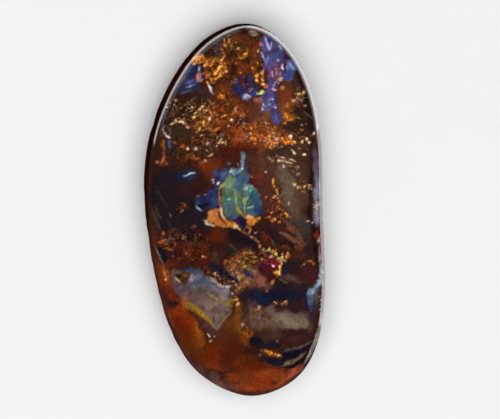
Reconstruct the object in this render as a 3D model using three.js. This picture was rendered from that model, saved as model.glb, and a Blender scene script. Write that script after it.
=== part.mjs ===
// A polished freeform boulder opal: one stone, lying on its ground back with its polished face up.
// Units are millimetres. X runs across the stone, Y runs along it and +Z points out of the face.
// The origin is on the back, under the middle of the stone's outline.
import * as THREE from "three";

// Driving dimensions
const LENGTH = 43.0; // along Y
const WIDTH = 20.9; // across X
const THICKNESS = 6.0; // from the back to the crown of the face

// The section, from the face round the wall to the back
const CROWN = 0.5; // the middle of the face stands this far above its edge
const RIM_NARROW = 0.9; // width of the rounded rim on the -X side
const RIM_WIDE = 1.2; // width of the rounded rim on the +X side
const RIM_DROP = 0.5; // the rim falls this far from the face's edge to the wall
const WALL_FLARE = 0.25; // the wall leans out by this much between the rim and the girdle
const GIRDLE_HEIGHT = 2.6; // the stone is widest here
const WALL_LEAN = 0.25; // the wall leans in by this much between the girdle and the back
const BACK_BEVEL = 0.5; // ground bevel between the wall and the back

// Facets
const OUTLINE_FACETS = 96; // round the outline
const FACE_ROWS = 6; // from the middle of the face to its edge
const RIM_ROWS = 5; // over the rounded rim

// The outline seen from above, counter-clockwise from the upper end. Each point is a share of half the
// width and half the length. The left flank is full at the top and tapers to the lower end, and the
// right flank is nearly straight down to a round lower corner.
const OUTLINE_SHARES = [
  [0.139, 1.0],
  [-0.218, 0.948],
  [-0.485, 0.84],
  [-0.714, 0.676],
  [-0.903, 0.462],
  [-1.0, 0.163],
  [-0.933, -0.219],
  [-0.821, -0.474],
  [-0.65, -0.704],
  [-0.419, -0.865],
  [-0.132, -0.962],
  [0.183, -1.0],
  [0.491, -0.961],
  [0.772, -0.857],
  [0.949, -0.651],
  [1.0, -0.393],
  [0.973, -0.02],
  [0.953, 0.351],
  [0.877, 0.588],
  [0.708, 0.788],
  [0.487, 0.924],
];

// Points round the girdle, evenly spaced, with the outward direction at each. The curve is stretched to
// the driving length and width and centred on the origin.
function girdle() {
  const shares = OUTLINE_SHARES.map(([x, y]) => new THREE.Vector3(x, y, 0));
  const curve = new THREE.CatmullRomCurve3(shares, true, "centripetal");
  const box = new THREE.Box3().setFromPoints(curve.getSpacedPoints(10 * OUTLINE_FACETS));
  const size = box.getSize(new THREE.Vector3());
  const middle = box.getCenter(new THREE.Vector3());
  const stretch = new THREE.Vector3(WIDTH / size.x, LENGTH / size.y, 0);
  const fitted = new THREE.CatmullRomCurve3(
    shares.map((share) => share.clone().sub(middle).multiply(stretch)),
    true,
    "centripetal",
  );
  return Array.from({ length: OUTLINE_FACETS }, (_, i) => {
    const along = i / OUTLINE_FACETS;
    const tangent = fitted.getTangentAt(along);
    return { point: fitted.getPointAt(along), outward: new THREE.Vector3(tangent.y, -tangent.x, 0) };
  });
}

// The rows of the section, from the middle of the face to the middle of the back. In each row, spread is
// the share of the way from the stone's middle to the wall, rim is the share of the rim's width that the
// row stands inside the wall, inset is a further distance inside it, and height is measured from the back.
function sectionRows() {
  const faceEdge = THICKNESS - CROWN;
  const rows = [];
  for (let i = 0; i <= FACE_ROWS; i++) {
    const spread = i / FACE_ROWS;
    rows.push({ spread, rim: 1, inset: WALL_FLARE, height: THICKNESS - CROWN * spread ** 2 });
  }
  for (let i = 1; i <= RIM_ROWS; i++) {
    const share = i / RIM_ROWS;
    rows.push({ spread: 1, rim: 1 - share, inset: WALL_FLARE, height: faceEdge - RIM_DROP * share ** 2 });
  }
  rows.push({ spread: 1, rim: 0, inset: 0, height: GIRDLE_HEIGHT });
  rows.push({ spread: 1, rim: 0, inset: WALL_LEAN, height: BACK_BEVEL });
  rows.push({ spread: 1, rim: 0, inset: WALL_LEAN + BACK_BEVEL, height: 0 });
  rows.push({ spread: 0, rim: 0, inset: 0, height: 0 });
  return rows;
}

// The rim's width on the side that faces outward: narrow towards -X and wide towards +X.
function rimWidth(outward) {
  return THREE.MathUtils.lerp(RIM_NARROW, RIM_WIDE, (1 + outward.x) / 2);
}

// The stone starts as a sphere with one row of facets for each row of the section. Its rows are bent to
// the section and its columns to the outline.
function stoneGeometry() {
  const columns = girdle();
  const rows = sectionRows();
  const geometry = new THREE.SphereGeometry(1, OUTLINE_FACETS, rows.length - 1);
  const position = geometry.getAttribute("position");
  const place = new THREE.Vector3();
  for (let i = 0; i < position.count; i++) {
    const column = columns[(i % (OUTLINE_FACETS + 1)) % OUTLINE_FACETS];
    const row = rows[Math.floor(i / (OUTLINE_FACETS + 1))];
    const inset = row.rim * rimWidth(column.outward) + row.inset;
    place.copy(column.point).addScaledVector(column.outward, -inset).multiplyScalar(row.spread);
    position.setXYZ(i, place.x, place.y, row.height);
  }
  geometry.deleteAttribute("normal");
  geometry.deleteAttribute("uv");
  geometry.computeVertexNormals();
  return geometry;
}

const polishedIronstone = new THREE.MeshStandardMaterial({ color: 0x4a2414, roughness: 0.15, metalness: 0 });

const boulderOpal = new THREE.Mesh(stoneGeometry(), polishedIronstone);
boulderOpal.name = "boulder_opal";

const part = new THREE.Group();
part.add(boulderOpal);

export default part;
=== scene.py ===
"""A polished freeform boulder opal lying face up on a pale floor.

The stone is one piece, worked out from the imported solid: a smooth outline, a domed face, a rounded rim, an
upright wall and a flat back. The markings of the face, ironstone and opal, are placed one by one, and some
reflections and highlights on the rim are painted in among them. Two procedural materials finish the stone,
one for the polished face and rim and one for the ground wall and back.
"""
import math
from functools import partial

import bpy
import numpy as np
from mathutils import Matrix, Vector


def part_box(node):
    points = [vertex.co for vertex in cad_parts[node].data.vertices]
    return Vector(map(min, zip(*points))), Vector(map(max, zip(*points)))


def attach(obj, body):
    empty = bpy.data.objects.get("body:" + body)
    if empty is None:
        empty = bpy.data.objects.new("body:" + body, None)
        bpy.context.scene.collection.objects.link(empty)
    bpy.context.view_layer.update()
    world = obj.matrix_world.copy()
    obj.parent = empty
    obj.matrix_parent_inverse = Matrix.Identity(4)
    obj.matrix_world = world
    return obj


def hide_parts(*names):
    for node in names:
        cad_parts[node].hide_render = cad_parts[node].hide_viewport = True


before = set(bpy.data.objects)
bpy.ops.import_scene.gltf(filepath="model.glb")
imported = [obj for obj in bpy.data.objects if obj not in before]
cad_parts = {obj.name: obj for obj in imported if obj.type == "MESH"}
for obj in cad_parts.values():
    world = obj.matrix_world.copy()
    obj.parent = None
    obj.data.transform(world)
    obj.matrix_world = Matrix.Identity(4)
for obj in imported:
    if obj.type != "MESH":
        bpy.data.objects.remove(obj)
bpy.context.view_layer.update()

# Units: the stone is worked out in millimetres and stored in metres
MM = 0.001
STONE = "boulder_opal"

# The section, in millimetres, from the face round the rim and the wall to the back
LOWEST, HIGHEST = (np.array(corner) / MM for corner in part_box(STONE))
HALF_WIDTH = (HIGHEST[0] - LOWEST[0]) / 2
HALF_LENGTH = (HIGHEST[1] - LOWEST[1]) / 2
THICKNESS = HIGHEST[2]
CROWN = 0.5
RIM_NARROW = 0.9
RIM_WIDE = 1.2
RIM_DROP = 0.5
WALL_TOP = THICKNESS - CROWN - RIM_DROP
WALL_FLARE = 0.25
GIRDLE_HEIGHT = 2.6
WALL_LEAN = 0.25
BACK_BEVEL = 0.5

# Vertices this near the girdle's height, in millimetres, are on it
GIRDLE_SLACK = 0.01

# Mesh density. The face's spacing is about an eighth of a millimetre. The back's grid is four times as coarse
# and stops a little short of the bevel, and triangles join the two.
FACE_COLUMNS = 168
FACE_ROWS = 348
RIM_ROWS = 10
WALL_ROWS = 18
BEVEL_ROWS = 2
BACK_STEP = 4
BACK_SHRINK = 0.97
OUTLINE_WAVES = 12

# Whole numbers that mix a lattice corner and a seed into an even spread of 32 bits
CORNER_PRIMES = np.array([73856093, 19349663, 83492791])
SEED_STEP = 2654435761
BIT_MIXER = 0x45D9F3B
LOW_BITS = 0xFFFFFFFF
HALF_OF_THEM = 0x7FFFFFFF

# The camera. Angles are from straight above, and the picture is 500 pixels wide and 419 high.
PICTURE_SIZE = (500, 419)
PIXELS_PER_MM = 8.7
STONE_PIXEL = (234.7, 210.6)
STONE_MIDDLE = Vector((0, 0, 3.0 * MM))
LEAN_LEFT = math.radians(8)
LEAN_UP = math.radians(5)
CAMERA_DISTANCE = 280 * MM
SENSOR_WIDTH = 36.0


def lattice_noise(points, size, seed):
    """Random numbers from -1 to 1 at the corners of a lattice of that size in millimetres, eased from
    corner to corner. Each corner's number is its whole coordinates mixed with the seed."""
    scaled = points / size
    corner = np.floor(scaled).astype(np.int64)
    ease = scaled - corner
    ease = ease * ease * (3 - 2 * ease)
    total = np.zeros(len(points))
    for step in np.ndindex(2, 2, 2):
        mixed = (corner + step) * CORNER_PRIMES + seed * SEED_STEP
        mixed = np.bitwise_xor.reduce(mixed, axis=1) & LOW_BITS
        for _ in range(2):
            mixed = ((mixed ^ (mixed >> 16)) * BIT_MIXER) & LOW_BITS
        share = np.where(step, ease, 1 - ease).prod(axis=1)
        total += share * ((mixed ^ (mixed >> 16)) / HALF_OF_THEM - 1)
    return total


def cloud(points, size, seed, octaves=3):
    """Lattice noise summed over octaves, each half as large and half as strong as the one before."""
    return sum(lattice_noise(points, size / 2**i, seed + i) / 2**i for i in range(octaves))


def smooth_step(low, high, values):
    """0 below low, 1 above high, and an eased slope between."""
    share = np.clip((values - low) / (high - low), 0, 1)
    return share * share * (3 - 2 * share)


def outline_waves():
    """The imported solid's widest ring as radius against angle, both measured in the ellipse of its half
    width and half length, fitted by a Fourier series so that the outline has no facets."""
    count = len(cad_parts[STONE].data.vertices)
    flat = np.empty(3 * count)
    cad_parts[STONE].data.vertices.foreach_get("co", flat)
    corners = flat.reshape(-1, 3) / MM
    ring = corners[np.abs(corners[:, 2] - GIRDLE_HEIGHT) < GIRDLE_SLACK]
    across, along = ring[:, 0] / HALF_WIDTH, ring[:, 1] / HALF_LENGTH
    turns = np.outer(np.arctan2(along, across), np.arange(1, OUTLINE_WAVES + 1))
    waves = np.hstack([np.ones((len(ring), 1)), np.cos(turns), np.sin(turns)])
    return np.linalg.lstsq(waves, np.hypot(across, along), rcond=None)[0]


def outline_radius(waves, angles):
    """The outline's radius and its slope at these angles: the sum of the fitted waves and of their slopes."""
    numbers = np.arange(1, OUTLINE_WAVES + 1)
    turns = np.multiply.outer(angles, numbers)
    level, cosines, sines = waves[0], waves[1:OUTLINE_WAVES + 1], waves[OUTLINE_WAVES + 1:]
    radius = level + np.cos(turns) @ cosines + np.sin(turns) @ sines
    slope = np.cos(turns) @ (sines * numbers) - np.sin(turns) @ (cosines * numbers)
    return radius, slope


def outline(waves, angles):
    """Points on the outline at these angles, the outward direction there, and the rim's width: narrow
    where the outline faces -X and wide where it faces +X."""
    radius, slope = outline_radius(waves, angles)
    cosine, sine = np.cos(angles), np.sin(angles)
    points = np.stack([HALF_WIDTH * radius * cosine, HALF_LENGTH * radius * sine], -1)
    tangent_x = HALF_WIDTH * (slope * cosine - radius * sine)
    tangent_y = HALF_LENGTH * (slope * sine + radius * cosine)
    outward = np.stack([tangent_y, -tangent_x], -1) / np.hypot(tangent_x, tangent_y)[..., None]
    rim = RIM_NARROW + (RIM_WIDE - RIM_NARROW) * (1 + outward[..., 0]) / 2
    return points, outward, rim


def loop_of(columns, rows, first):
    """Vertex numbers round the border of a grid of columns by rows cells, counter-clockwise."""
    number = first + np.arange((rows + 1) * (columns + 1)).reshape(rows + 1, columns + 1)
    return np.concatenate([number[0, :-1], number[:-1, -1], number[-1, :0:-1], number[:0:-1, 0]])


def grid_quads(columns, rows, first):
    """The cells of a grid as rows of four vertex numbers, counter-clockwise seen from above."""
    number = first + np.arange((rows + 1) * (columns + 1)).reshape(rows + 1, columns + 1)
    corners = [number[:-1, :-1], number[:-1, 1:], number[1:, 1:], number[1:, :-1]]
    return np.stack(corners, -1).reshape(-1, 4)


def pressed_disc(columns, rows):
    """A square grid pressed to a unit disc: each point (s, t) goes to (s√(1-t²/2), t√(1-s²/2))."""
    t, s = np.meshgrid(np.linspace(-1, 1, rows + 1), np.linspace(-1, 1, columns + 1), indexing="ij")
    across, along = s * np.sqrt(1 - t * t / 2), t * np.sqrt(1 - s * s / 2)
    return np.hypot(across, along).ravel(), np.arctan2(along, across).ravel()


def sheet_points(waves, columns, rows, rim_share, inset):
    """A sheet inside the outline: a disc whose rings run from an ellipse at its middle to the outline, moved
    in by a share of the rim's width and by a further distance, at its edge."""
    share, angles = pressed_disc(columns, rows)
    points, outward, rim = outline(waves, angles)
    edge = points - outward * (rim_share * rim + inset)[:, None]
    ellipse = np.stack([HALF_WIDTH * np.cos(angles), HALF_LENGTH * np.sin(angles)], -1)
    ellipse *= 1 - (RIM_NARROW + RIM_WIDE) / (HALF_WIDTH + HALF_LENGTH)
    blend = (share * share)[:, None]
    return share[:, None] * (ellipse * (1 - blend) + edge * blend)


def crown_height(waves, points):
    """Height of the dome: the crown at the middle, falling to nothing at the outline as the square of the
    share of the way there."""
    across, along = points[:, 0] / HALF_WIDTH, points[:, 1] / HALF_LENGTH
    radius, _ = outline_radius(waves, np.arctan2(along, across))
    return CROWN * (1 - np.minimum(np.hypot(across, along) / radius, 1) ** 2)


def section_rings():
    """The rings below the face, from the rim to the back: the share of the rim's width and the further
    distance that each stands inside the outline, and its height. Over the rim the height falls as the square
    of the way across it. The wall then flares out to the girdle and leans in to the bevel, which ends at the
    back."""
    across = np.arange(1, RIM_ROWS + 1) / RIM_ROWS
    down = np.arange(1, WALL_ROWS + 1) / WALL_ROWS
    girdle = (WALL_TOP - GIRDLE_HEIGHT) / (WALL_TOP - BACK_BEVEL)
    bevel = np.arange(1, BEVEL_ROWS + 1) / BEVEL_ROWS * BACK_BEVEL
    rim_shares = np.concatenate([1 - across, np.zeros(WALL_ROWS + BEVEL_ROWS)])
    wall_insets = np.interp(down, [0, girdle, 1], [WALL_FLARE, 0, WALL_LEAN])
    insets = np.concatenate([np.full(RIM_ROWS, WALL_FLARE), wall_insets, WALL_LEAN + bevel])
    rim_heights = WALL_TOP + RIM_DROP * (1 - across**2)
    heights = np.concatenate([rim_heights, WALL_TOP + down * (BACK_BEVEL - WALL_TOP), BACK_BEVEL - bevel])
    return rim_shares, insets, heights


def stone_surface(waves):
    """All of the stone's vertices in millimetres, its quads, its triangles, and how many of the quads are
    polished. The face is a pressed grid. From its border, rings go down over the rim and the wall, and a
    coarser pressed grid closes the back."""
    face = sheet_points(waves, FACE_COLUMNS, FACE_ROWS, 1, WALL_FLARE)
    face = np.column_stack([face, WALL_TOP + RIM_DROP + crown_height(waves, face)])
    border = loop_of(FACE_COLUMNS, FACE_ROWS, 0)
    _, angles = pressed_disc(FACE_COLUMNS, FACE_ROWS)
    points, outward, rim = outline(waves, angles[border])

    rim_shares, insets, heights = section_rings()
    inside = rim_shares[:, None] * rim + insets[:, None]
    rings = (points - inside[..., None] * outward).reshape(-1, 2)
    dome = crown_height(waves, rings) * np.repeat(rim_shares, len(border))
    rings = np.column_stack([rings, np.repeat(heights, len(border)) + dome])

    back_columns, back_rows = FACE_COLUMNS // BACK_STEP, FACE_ROWS // BACK_STEP
    back = sheet_points(waves, back_columns, back_rows, 0, WALL_LEAN + BACK_BEVEL)
    back = np.column_stack([back * BACK_SHRINK, np.zeros(len(back))])

    first_ring = len(face)
    first_back = first_ring + len(rings)
    loops = np.vstack([border, (first_ring + np.arange(len(rings))).reshape(-1, len(border))])
    upper, lower = loops[:-1], loops[1:]
    walls = np.stack([upper, lower, np.roll(lower, -1, 1), np.roll(upper, -1, 1)], -1).reshape(-1, 4)
    quads = np.vstack([
        grid_quads(FACE_COLUMNS, FACE_ROWS, 0),
        walls,
        grid_quads(back_columns, back_rows, first_back)[:, ::-1],
    ])
    polished = FACE_COLUMNS * FACE_ROWS + RIM_ROWS * len(border)

    fine = loops[-1]
    coarse = loop_of(back_columns, back_rows, first_back)
    steps = [np.roll(fine, -i)[::BACK_STEP] for i in range(BACK_STEP + 1)]
    next_coarse = np.roll(coarse, -1)
    half = BACK_STEP // 2
    fans = [(coarse, steps[i + 1], steps[i]) for i in range(half)]
    fans += [(coarse, next_coarse, steps[half])]
    fans += [(next_coarse, steps[i + 1], steps[i]) for i in range(half, BACK_STEP)]
    triangles = np.vstack([np.stack(fan, -1) for fan in fans])
    return np.vstack([face, rings, back]), quads, triangles, polished


def make_stone():
    """The stone's object: its vertices and faces in one mesh, shaded smooth but for a sharp edge between
    the rim and the wall. The polished faces take the first material and the ground ones the second."""
    points, quads, triangles, polished = stone_surface(outline_waves())
    mesh = bpy.data.meshes.new(STONE + "_stone")
    mesh.vertices.add(len(points))
    mesh.vertices.foreach_set("co", (points * MM).ravel())
    mesh.loops.add(quads.size + triangles.size)
    mesh.loops.foreach_set("vertex_index", np.concatenate([quads.ravel(), triangles.ravel()]))
    mesh.polygons.add(len(quads) + len(triangles))
    starts = np.concatenate([np.arange(len(quads)) * 4, quads.size + np.arange(len(triangles)) * 3])
    mesh.polygons.foreach_set("loop_start", starts)
    mesh.polygons.foreach_set("use_smooth", np.ones(len(starts), bool))
    mesh.polygons.foreach_set("material_index", (np.arange(len(starts)) >= polished).astype(np.int32))
    mesh.update(calc_edges=True)
    mesh.validate()
    edges = np.empty(2 * len(mesh.edges), np.int32)
    mesh.edges.foreach_get("vertices", edges)
    on_edge = (points[:, 2] == WALL_TOP)[edges].reshape(-1, 2).all(axis=1)
    mesh.edges.foreach_set("use_edge_sharp", on_edge)
    stone = bpy.data.objects.new(STONE + "_stone", mesh)
    bpy.context.scene.collection.objects.link(stone)
    return stone, points


def srgb(hex_colour):
    """A hex colour as shares of red, green and blue."""
    return np.array([int(hex_colour[i:i + 2], 16) / 255 for i in (0, 2, 4)])


def linear(shares):
    """sRGB shares as linear light: a 12.92th of the darkest, and ((s + 0.055) / 1.055) to 2.4 above."""
    return np.where(shares <= 0.04045, shares / 12.92, ((shares + 0.055) / 1.055) ** 2.4)


# Ironstone. Each row is a soft oval of ground colour: hex, middle x and y, half lengths, turn in degrees,
# softness of its edge and strength.
IRONSTONE = [
    # Rust-brown upper end
    ("42230f", 0.4, 17.0, 3.4, 3.6, 0, 1.0, 1.0),
    ("582a0e", 0.7, 16.3, 1.6, 0.8, 0, 0.7, 0.7),
    ("4c2c12", 0.8, 19.2, 1.3, 0.7, 10, 0.5, 0.7),
    ("2a1a17", -2.2, 18.5, 2.0, 0.9, 38, 0.5, 0.9),
    ("1c1212", -1.0, 19.8, 2.4, 0.35, 22, 0.25, 0.9),
    ("4c423c", -1.7, 18.8, 0.5, 0.9, 20, 0.35, 0.5),
    ("30240e", 0.3, 18.7, 0.7, 0.5, 0, 0.3, 0.6),
    ("211a12", 1.7, 17.3, 0.7, 0.4, 20, 0.3, 0.7),
    ("24170e", -0.2, 17.4, 0.5, 0.7, 0, 0.3, 0.6),
    ("20150d", -0.1, 15.9, 0.5, 0.6, 0, 0.3, 0.6),
    ("5a3010", 2.4, 17.6, 0.5, 1.5, 0, 0.4, 0.7),
    # Dark ground of the upper left flank, with a painted reflection along its rim
    ("2b2236", -5.0, 15.1, 1.5, 1.8, -25, 0.5, 1.0),
    # Painted reflection: a mauve and pink band where the rim's mirrored light fades inwards
    ("5c4a4e", -5.9, 15.3, 0.5, 1.3, -32, 0.4, 0.8),
    ("8a6478", -5.4, 16.6, 0.4, 0.6, -35, 0.3, 0.6),
    ("7a5054", -4.6, 17.6, 0.35, 0.9, -42, 0.3, 0.6),
    ("2a1b1c", -3.6, 13.2, 1.8, 1.0, 12, 0.5, 0.95),
    ("402428", -3.3, 13.7, 0.5, 0.4, 0, 0.3, 0.7),
    ("2c2812", -4.6, 13.5, 1.0, 0.3, 15, 0.25, 0.6),
    ("2c2a12", -3.5, 12.4, 0.7, 0.25, 0, 0.25, 0.6),
    ("33180e", -1.9, 14.3, 0.7, 0.9, 0, 0.4, 0.8),
    ("502c10", -1.0, 13.7, 0.8, 0.6, 0, 0.4, 0.7),
    # Dark brown ground under the cream threads
    ("2a1a12", -5.4, 11.2, 2.9, 1.6, 8, 0.7, 1.0),
    ("40240f", -3.2, 9.6, 3.2, 2.2, 0, 1.0, 0.9),
    ("6e3c14", -3.6, 10.3, 1.2, 0.8, 20, 0.5, 0.75),
    ("2b2318", -6.1, 9.0, 1.1, 1.0, 0, 0.35, 0.95),
    ("22141c", -8.0, 11.0, 0.45, 1.8, -14, 0.3, 0.85),
    ("6a300c", -1.4, 10.8, 1.9, 1.3, 0, 0.8, 0.8),
    ("3c2412", -0.9, 12.1, 0.9, 0.5, 0, 0.35, 0.9),
    ("6a2e0c", -1.2, 13.1, 1.2, 0.6, 0, 0.5, 0.8),
    ("85390a", 0.1, 8.5, 1.2, 0.8, 0, 0.6, 0.85),
    ("3e2417", -2.4, 7.6, 2.5, 1.4, 0, 0.7, 0.9),
    ("2f1c1c", -3.6, 6.6, 0.6, 0.4, 0, 0.3, 0.7),
    ("41170e", -0.2, 6.5, 1.7, 0.9, 10, 0.5, 0.9),
    ("3b1a16", -0.9, 5.5, 1.5, 0.5, 0, 0.35, 0.9),
    ("6a2e0c", -3.3, 5.3, 1.7, 0.6, -8, 0.4, 0.9),
    ("5c2a0e", -3.0, 4.3, 0.6, 1.2, 0, 0.4, 0.8),
    ("33200f", -5.2, 7.0, 1.4, 1.2, 0, 0.6, 0.8),
    ("2c1a14", -8.5, 7.6, 0.8, 2.6, -8, 0.4, 0.9),
    ("1f1c1a", -7.1, 6.6, 0.6, 1.4, 0, 0.35, 0.9),
    # Brown and rust of the upper right flank
    ("4a2a15", 6.3, 12.7, 1.8, 2.5, 5, 0.7, 1.0),
    ("623518", 6.1, 11.7, 0.9, 0.8, 0, 0.5, 0.7),
    ("672c18", 5.9, 13.1, 0.5, 0.9, 0, 0.35, 0.7),
    ("6a3c16", 6.4, 11.9, 0.8, 0.7, 0, 0.5, 0.7),
    ("35241a", 7.1, 14.5, 0.9, 1.1, -15, 0.4, 0.9),
    ("2a1c16", 7.6, 10.6, 1.0, 1.3, 0, 0.5, 0.85),
    ("925212", 6.45, 10.7, 0.85, 0.4, -12, 0.25, 0.9),
    ("6c442c", 3.4, 10.9, 1.4, 1.0, 0, 0.6, 0.9),
    ("55441c", 3.6, 10.9, 0.5, 0.4, 0, 0.3, 0.5),
    ("48291a", 1.6, 11.3, 1.6, 1.3, 0, 0.6, 0.9),
    ("6a2c0e", 0.7, 11.6, 0.9, 0.7, 0, 0.4, 0.7),
    ("603c2e", 3.3, 10.0, 1.3, 0.5, 0, 0.35, 0.8),
    # Rust band across the right
    ("8c4c26", 3.4, 8.5, 3.0, 1.2, -4, 0.7, 0.95),
    ("944820", 2.4, 9.0, 1.2, 0.7, 0, 0.4, 0.8),
    ("803c20", 5.3, 9.0, 0.7, 0.5, 0, 0.3, 0.8),
    ("5c2210", 1.4, 7.4, 1.1, 0.4, 0, 0.3, 0.9),
    ("2c1c22", 0.9, 9.9, 0.8, 0.6, 0, 0.3, 0.9),
    ("2c1e18", 6.7, 9.3, 1.2, 0.7, 0, 0.4, 0.9),
    ("29190f", 7.9, 9.6, 0.9, 1.0, 0, 0.4, 0.8),
    ("33231a", 6.6, 7.1, 1.5, 0.7, 0, 0.4, 0.9),
    ("34281a", 8.0, 7.1, 0.9, 0.9, 0, 0.4, 0.9),
    ("30221c", 5.4, 6.5, 1.9, 0.9, 0, 0.4, 0.9),
    ("6a3010", 3.4, 6.9, 0.5, 0.5, 0, 0.3, 0.7),
    # Smooth brown of the middle right, with a grey-olive band of painted reflection
    ("3d281c", 4.6, 4.6, 2.3, 1.6, 0, 0.7, 1.0),
    ("5e3a20", 3.3, 5.7, 0.3, 1.6, 0, 0.25, 0.6),
    ("432c22", 2.3, 5.2, 0.8, 1.4, 0, 0.4, 0.9),
    ("6a2214", 2.9, 3.5, 0.7, 0.5, -10, 0.35, 0.9),
    ("582014", 2.2, 4.5, 0.3, 0.9, -15, 0.25, 0.7),
    ("41251a", 3.6, 1.5, 1.3, 2.0, 0, 0.5, 1.0),
    # Painted reflection: a grey-olive haze of mirrored light in the polish
    ("50493c", 6.0, 3.0, 0.9, 2.6, 6, 0.6, 0.9),
    ("3a2c24", 7.9, 4.4, 0.8, 1.4, 0, 0.5, 0.8),
    ("3f3022", 7.6, 1.5, 0.9, 1.6, 0, 0.5, 0.9),
    ("474034", 6.9, -0.6, 1.0, 2.0, 8, 0.6, 0.85),
    ("3a3a22", 6.0, 3.8, 0.3, 0.4, 0, 0.25, 0.5),
    # Near-black ground of the left flank
    ("1d161a", -7.2, 1.6, 2.6, 3.4, 0, 0.6, 1.0),
    ("1e1719", -5.8, -0.9, 3.2, 2.2, -15, 0.6, 1.0),
    ("2c1514", -4.0, 2.6, 1.2, 1.4, 0, 0.5, 0.9),
    ("331a18", -5.9, 2.5, 0.7, 0.7, 0, 0.4, 0.7),
    ("2f1a0f", -3.4, 3.3, 0.6, 1.0, 0, 0.3, 0.8),
    ("14161a", -9.0, 2.6, 0.3, 1.8, 0, 0.2, 0.7),
    ("171320", -8.0, -1.9, 0.9, 0.5, 20, 0.3, 0.9),
    ("141820", -6.0, -1.4, 0.4, 0.7, 0, 0.3, 0.7),
    ("201824", -4.4, -3.2, 0.8, 0.5, -20, 0.3, 0.8),
    # Rust and maroon of the lower left
    ("43201a", -9.3, -2.6, 0.5, 1.6, 8, 0.3, 0.9),
    ("4a2116", -7.6, -3.3, 1.6, 1.1, -10, 0.5, 0.9),
    ("4e1c0f", -6.0, -4.6, 1.2, 1.0, -20, 0.5, 0.9),
    ("622a10", -4.5, -4.9, 1.2, 0.9, -25, 0.5, 0.9),
    ("2c1618", -7.0, -5.2, 0.8, 0.5, -20, 0.3, 0.8),
    ("3a1712", -6.0, -6.1, 1.2, 0.5, -8, 0.3, 0.9),
    ("5e2618", -7.2, -6.3, 0.6, 0.4, 0, 0.3, 0.7),
    ("4a1710", -3.4, -6.2, 1.0, 0.7, -30, 0.4, 0.9),
    ("4e1e0a", -2.2, -3.1, 1.6, 0.9, 0, 0.5, 0.95),
    ("5c1c18", -1.0, -2.7, 0.5, 0.4, 0, 0.3, 0.7),
    ("281419", -3.9, -2.6, 0.9, 0.8, 0, 0.4, 0.7),
    ("341519", -1.6, -4.5, 0.6, 0.6, 0, 0.3, 0.8),
    ("44332e", -2.5, -5.3, 0.8, 0.35, -40, 0.25, 0.8),
    ("171019", 0.9, -3.3, 1.9, 1.1, -20, 0.5, 0.95),
    ("1c1d18", -0.6, -4.7, 0.7, 0.45, 20, 0.25, 0.95),
    # Folded brown jasper of the right
    ("301a16", 5.6, -2.6, 2.6, 1.9, -15, 0.5, 1.0),
    ("1e1418", 4.2, -2.6, 1.2, 0.5, -8, 0.35, 0.85),
    ("1e100e", 6.1, -3.9, 1.0, 0.4, -25, 0.3, 0.85),
    ("7a4018", 6.5, -2.1, 0.35, 0.4, 0, 0.25, 0.7),
    ("5c1e0c", 3.7, -3.5, 0.5, 0.5, 0, 0.3, 0.8),
    ("33302a", 8.2, -2.3, 0.8, 1.6, 10, 0.4, 0.9),
    ("3c2218", 7.8, -5.3, 1.2, 0.8, 0, 0.4, 0.9),
    ("231a1c", 8.5, -4.6, 0.5, 1.0, 0, 0.3, 0.8),
    ("22171a", 6.5, -6.8, 1.2, 0.9, 20, 0.4, 1.0),
    ("1c1a38", 5.75, -7.2, 0.35, 0.5, 0, 0.25, 0.7),
    ("361b1c", 8.7, -7.4, 0.9, 1.0, 0, 0.5, 0.9),
    ("4b443f", 6.7, -8.1, 0.9, 0.35, -8, 0.3, 0.85),
    ("171a19", 5.6, -9.0, 0.9, 0.6, 0, 0.3, 0.9),
    ("221a1e", 7.6, -9.4, 1.4, 0.9, 0, 0.5, 0.9),
    # Granular tan and mauve ground of the lower middle
    ("5c3a26", 1.2, -7.3, 2.2, 2.2, -25, 0.6, 1.0),
    ("7c4216", 0.6, -5.6, 0.8, 0.4, 0, 0.3, 0.8),
    ("451c0c", 1.9, -6.0, 0.8, 0.7, 0, 0.3, 0.85),
    ("744e30", 0.2, -7.0, 0.9, 0.9, -30, 0.4, 0.7),
    ("765432", 1.1, -8.4, 0.8, 0.7, 20, 0.4, 0.8),
    ("5c1414", 3.9, -6.3, 1.1, 1.0, 0, 0.4, 0.95),
    ("241a34", 3.4, -6.4, 0.5, 0.4, 0, 0.25, 0.8),
    ("2a1418", 3.3, -7.0, 0.35, 0.35, 0, 0.2, 0.8),
    ("301018", 4.3, -7.3, 0.25, 0.35, 0, 0.2, 0.8),
    ("6a1838", 4.5, -6.05, 0.3, 0.2, -20, 0.12, 0.8),
    ("3c1830", 4.1, -6.5, 0.25, 0.25, 0, 0.15, 0.8),
    ("74402c", 3.4, -5.9, 0.4, 0.25, 0, 0.2, 0.7),
    ("7c503c", 3.0, -8.0, 0.7, 0.6, -20, 0.35, 0.85),
    ("5c4036", 3.9, -8.8, 0.6, 0.6, 0, 0.3, 0.8),
    ("704a2a", 0.4, -9.3, 0.7, 0.7, 0, 0.3, 0.8),
    ("3c201c", 1.9, -9.7, 0.6, 0.6, 0, 0.3, 0.8),
    # Dark band under it
    ("161426", 4.6, -10.1, 3.4, 0.7, 0, 0.3, 1.0),
    ("0f2236", 3.2, -10.3, 0.7, 0.4, 0, 0.3, 0.8),
    ("15223c", 2.6, -9.4, 0.4, 0.5, 20, 0.25, 0.8),
    ("1d1826", 0.9, -10.2, 0.7, 0.5, 0, 0.3, 0.9),
    # Orange-brown left flank and the brown jelly of the lower end
    ("642a0c", -8.1, -8.2, 0.9, 2.4, 14, 0.4, 1.0),
    ("98511c", -7.8, -7.5, 0.3, 0.8, 8, 0.25, 0.7),
    ("5a1c08", -7.1, -9.3, 0.7, 0.9, 0, 0.4, 0.9),
    ("662507", -5.9, -12.8, 1.5, 3.4, 22, 0.5, 1.0),
    ("9a4c0e", -5.7, -10.7, 0.6, 0.5, 0, 0.35, 0.9),
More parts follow.
